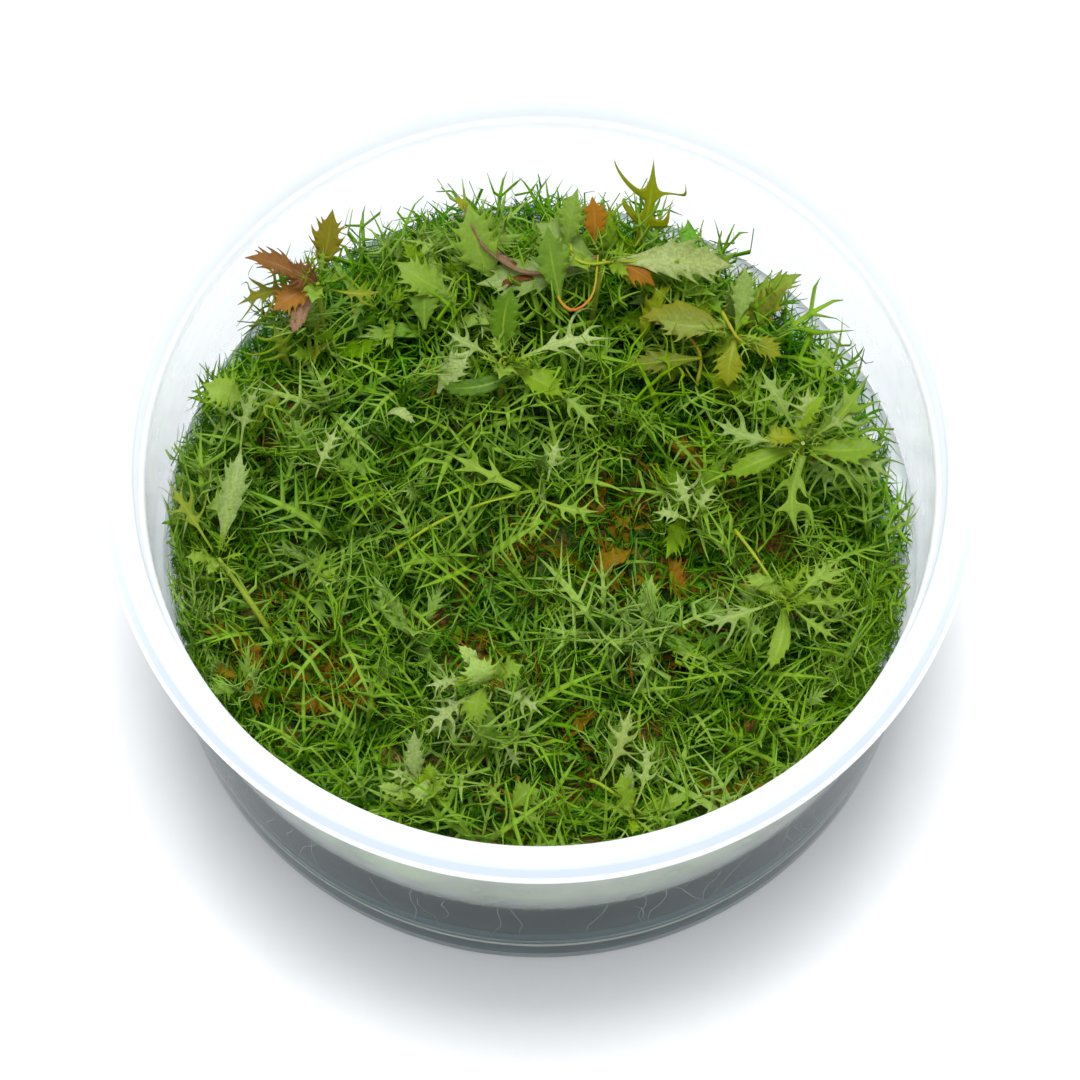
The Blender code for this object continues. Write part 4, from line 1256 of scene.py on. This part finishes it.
# each with its path, and how red it is
thinStems = {
    "redLoop": ([
        (1.9, 26.1, 38), (2.3, 23.8, 38.6), (3.7, 22.3, 39), (5.4, 23.0, 39.4),
        (6.4, 24.8, 39.8), (6.8, 29.0, 40)], 0.85),
    "yellowCurl": ([
        (3.5, 30.2, 40.4), (4.0, 28.2, 40.8), (5.9, 27.5, 40.6), (8.4, 28.2, 39.8),
        (11.7, 28.6, 39)], 0.1),
    "amberStem": ([
        (18.5, 15.8, 32), (18.9, 18.2, 34.6), (17.6, 20.1, 36), (15.0, 21.7, 36.6),
        (11.7, 22.5, 36.4)], 0.45),
    "goldStem": ([
        (21.3, 22.5, 38.2), (22.2, 20.5, 38.6), (23.1, 19.1, 38.2), (24.8, 18.4, 37)], 0.3),
    "middleJoint": ([
        (-5.9, 14.5, 33), (-5.0, 15.9, 35.6), (-4.4, 17.3, 36.6), (-3.0, 17.1, 36.4),
        (-1.6, 16.5, 36)], 0.1),
    "branchStem": ([
        (5.7, -32.9, 30.6), (7.1, -33.7, 31), (11.4, -36.7, 30.4), (14.6, -39.1, 29)], 0.0),
    "rightStem": ([
        (22.6, -3.0, 33), (24.5, -6.0, 33.6), (26.3, -9.0, 33.8), (28.1, -12.2, 34)], 0.0),
    "leftLoop": ([
        (-35.4, 5.0, 34.4), (-35.8, 2.8, 34.8), (-34.9, 1.3, 34), (-35.3, -0.5, 33)], 0.35),
    "longArch": ([
        (-18.1, -4.7, 28.5), (-12.8, -1.8, 31), (-7.0, 0.5, 32.2), (-2.3, 1.7, 32.4)], 0.0),
}
thin = {"radius": 0.21, "joints": 0.15, "taper": (1.1, 0.6), "sides": 8, "steps": 14, "fresh": 0.9}
tuft = {"leaves": (6, 9), "length": (3.0, 5.4), "pitch": (28, 78), "drop": 0.5}


def curved(path):
    # a smooth line through the points of a path
    path = np.array(path, dtype=float)
    whole = np.concatenate([[2 * path[0] - path[1]], path, [2 * path[-1] - path[-2]]])
    spots = []
    for spot in np.linspace(0, len(path) - 1.001, thin["steps"]):
        index, t = int(spot), spot - int(spot)
        a, b, c, d = whole[index:index + 4]
        square, cube = 2 * a - 5 * b + 4 * c - d, 3 * b - a - 3 * c + d
        spots.append(0.5 * (2 * b + (c - a) * t + square * t ** 2 + cube * t ** 3))
    return np.array(spots)


def makeLooseLeaves():
    for slot, leaves in looseLeaves.items():
        parts = [leafPart(*leaf) for leaf in leaves.values()]
        place(joinedMesh("more_" + slot, parts), finishes[slot], slot)


def makeThinStems():
    parts = []
    joints = 1 + thin["joints"] * np.sin(np.arange(thin["steps"]) * 1.7)
    radii = thin["radius"] * joints * np.linspace(*thin["taper"], thin["steps"])
    for path, red in thinStems.values():
        points, loops, totals, flat = tubes(curved(path)[None], radii, thin["sides"])
        tint = plainTint(points, thin["fresh"])
        # reddest at the middle of the path
        tint[..., 2] = red * (0.25 + 0.75 * np.sin(math.pi * np.clip(flat[:, 1], 0, 1)) ** 2)
        parts.append((points, loops, totals, tint, flat + [0.9, 0]))
    place(joinedMesh("thin_stems", parts), finishes["stem"], "stem")


def makeTufts():
    # the youngest leaves stand round the top of each larger shoot
    leaves = {name: [] for name in ("comb", "fork", "toothed", "lobed")}
    for _, (x, y, z), _ in shoots.values():
        for index in range(rng.integers(*tuft["leaves"], endpoint=True)):
            way = index * growth["goldenTurn"] + rng.normal(0, 0.3)
            root = (x + 0.2 * math.cos(way), y + 0.2 * math.sin(way), z - tuft["drop"])
            pitch = math.radians(rng.uniform(*tuft["pitch"]))
            length = rng.uniform(*tuft["length"])
            leaves[rng.choice(list(leaves))].append([
                *root, way, pitch, rng.normal(-0.7, 0.3), length, 1.0, rng.normal(0, 0.4), 0.5,
                rng.normal(0, 0.15), rng.uniform(0.75, 1.0), rng.uniform(0, 0.4), 0.0])
    parts = []
    for name, found in leaves.items():
        rows = np.array(found)
        form = coarse.get(name) or medium[name]
        bent = bendLeaves(form, rows[:, :3], *rows[:, 3:11].T, looseness["coarse"])
        parts.append(leafRows(form, rows, keepInside(bent)))
    place(joinedMesh("young_tufts", parts), finishes["leaf"], "leaf")


# fine roots in the gel and bits of old leaf at its edge, both near the front of the wall
roots = {
    "count": 26, "radius": 0.07, "from": -150, "to": -30, "inset": 1.1, "top": 15,
    "low": (2.5, 10), "points": 6,
}
edgeBits = {
    "count": 150, "from": -108, "to": -50, "inset": 0.9, "length": (1.6, 3.6), "wall": 43.9,
}


def makeRoots():
    parts = []
    for _ in range(roots["count"]):
        way = math.radians(rng.uniform(roots["from"], roots["to"]))
        drift = rng.normal(0, 0.07)
        top, low = rng.uniform(roots["top"], gel["top"] - 0.5), rng.uniform(*roots["low"])
        path = []
        for part in np.linspace(0, 1, roots["points"]):
            z = top + (low - top) * part
            radius = wallInside(z) - roots["inset"] - 0.9 * math.sin(part * 5 + way * 9) ** 2
            angle = way + drift * part + 0.01 * math.sin(part * 7 + way * 5)
            path.append((radius * math.cos(angle), radius * math.sin(angle), z))
        radii = np.linspace(1.0, 0.5, roots["points"]) * roots["radius"]
        points, loops, totals, flat = tubes(np.array([path]), radii)
        parts.append((points, loops, totals, plainTint(points), flat))
    place(joinedMesh("fine_roots", parts), rootFinish(), "stem")


def rootFinish():
    material, kit, where = newMaterial("paleRoot")
    colour = where.noise(500.0).mixed(rgb(0.36, 0.38, 0.30), rgb(0.50, 0.53, 0.46))
    return finishMaterial(material, kit.node("ShaderNodeBsdfPrincipled", None, {
        "Base Color": colour, "Roughness": 0.5}))


def makeEdgeBits():
    rows = []
    for _ in range(edgeBits["count"]):
        way = math.radians(rng.uniform(edgeBits["from"], edgeBits["to"]))
        z = gel["top"] - abs(rng.normal(0, 1.1)) + 0.6
        radius = wallInside(z) - edgeBits["inset"]
        rows.append([
            radius * math.cos(way), radius * math.sin(way), z, way + rng.choice((-1.5, 1.5)),
            rng.normal(0, 0.5), rng.normal(0, 0.5), rng.uniform(*edgeBits["length"]), 1.0,
            rng.normal(0, 1.2), 0.3, rng.normal(0, 0.2), rng.uniform(0.6, 1.0), 0.1,
            0.3 * (rng.uniform() < 0.3)])
    rows = np.array(rows)
    form = coarse["fork"]
    points = bendLeaves(form, rows[:, :3], *rows[:, 3:11].T, looseness["coarse"])
    size = np.minimum(edgeBits["wall"] / np.hypot(points[..., 0], points[..., 1]), 1.0)
    points[..., :2] *= size[..., None]
    part = leafRows(form, rows, points)
    place(joinedMesh("edge_bits", [part]), finishes["carpet"], "carpet")


makeLooseLeaves()
makeThinStems()
makeTufts()
makeRoots()
makeEdgeBits()
print("more leaves, thin stems and tufts")


# stage, light and camera
studio = {
    "floorSize": 6, "sky": rgb(0.95, 0.98, 1.0), "skyStrength": 0.98,
    "softboxAt": (0.0, 0.14, 1.1), "softboxSize": (0.42, 0.36), "softboxPower": 12.0,
    "softboxAim": (0, 0, 0.02),
}
# angle is above the floor, distance from the middle of the rim, tilt from straight down
view = {"lens": 150, "sensor": 36, "angle": 66.5, "distance": 0.5095, "tilt": 22.41}

deselect()
bpy.ops.mesh.primitive_plane_add(size=studio["floorSize"])
floor = bpy.context.object
floor.name = "studioFloor"
floorMaterial, kit, whereOnFloor = newMaterial("studioPaper")
shade = whereOnFloor.noise(400.0).mixed(rgb(0.80, 0.80, 0.81), rgb(0.82, 0.82, 0.83))
paper = kit.node("ShaderNodeBsdfPrincipled", None, {"Base Color": shade, "Roughness": 0.8})
floor.data.materials.append(finishMaterial(floorMaterial, paper))

world = bpy.data.worlds.new("studio")
bpy.context.scene.world = world
world.use_nodes = True
sky = world.node_tree.nodes["Background"]
sky.inputs["Color"].default_value = studio["sky"]
sky.inputs["Strength"].default_value = studio["skyStrength"]

softbox = bpy.data.lights.new("topSoftbox", "AREA")
softbox.shape = "RECTANGLE"
softbox.size, softbox.size_y = studio["softboxSize"]
softbox.energy = studio["softboxPower"]
light = bpy.data.objects.new("topSoftbox", softbox)
bpy.context.scene.collection.objects.link(light)
light.location = studio["softboxAt"]
facing = Vector(studio["softboxAim"]) - Vector(studio["softboxAt"])
light.rotation_euler = facing.to_track_quat("-Z", "Y").to_euler()

camera = bpy.data.objects.new("camera", bpy.data.cameras.new("camera"))
bpy.context.scene.collection.objects.link(camera)
camera.data.lens = view["lens"]
camera.data.sensor_width = view["sensor"]
angle = math.radians(view["angle"])
back = Vector((0, -math.cos(angle), math.sin(angle)))
camera.location = Vector((0, 0, cup["height"] * mm)) + back * view["distance"]
camera.rotation_euler = (math.radians(view["tilt"]), 0, 0)
bpy.context.scene.camera = camera
bpy.context.scene.view_settings.view_transform = "Standard"
print("stage, light and camera")
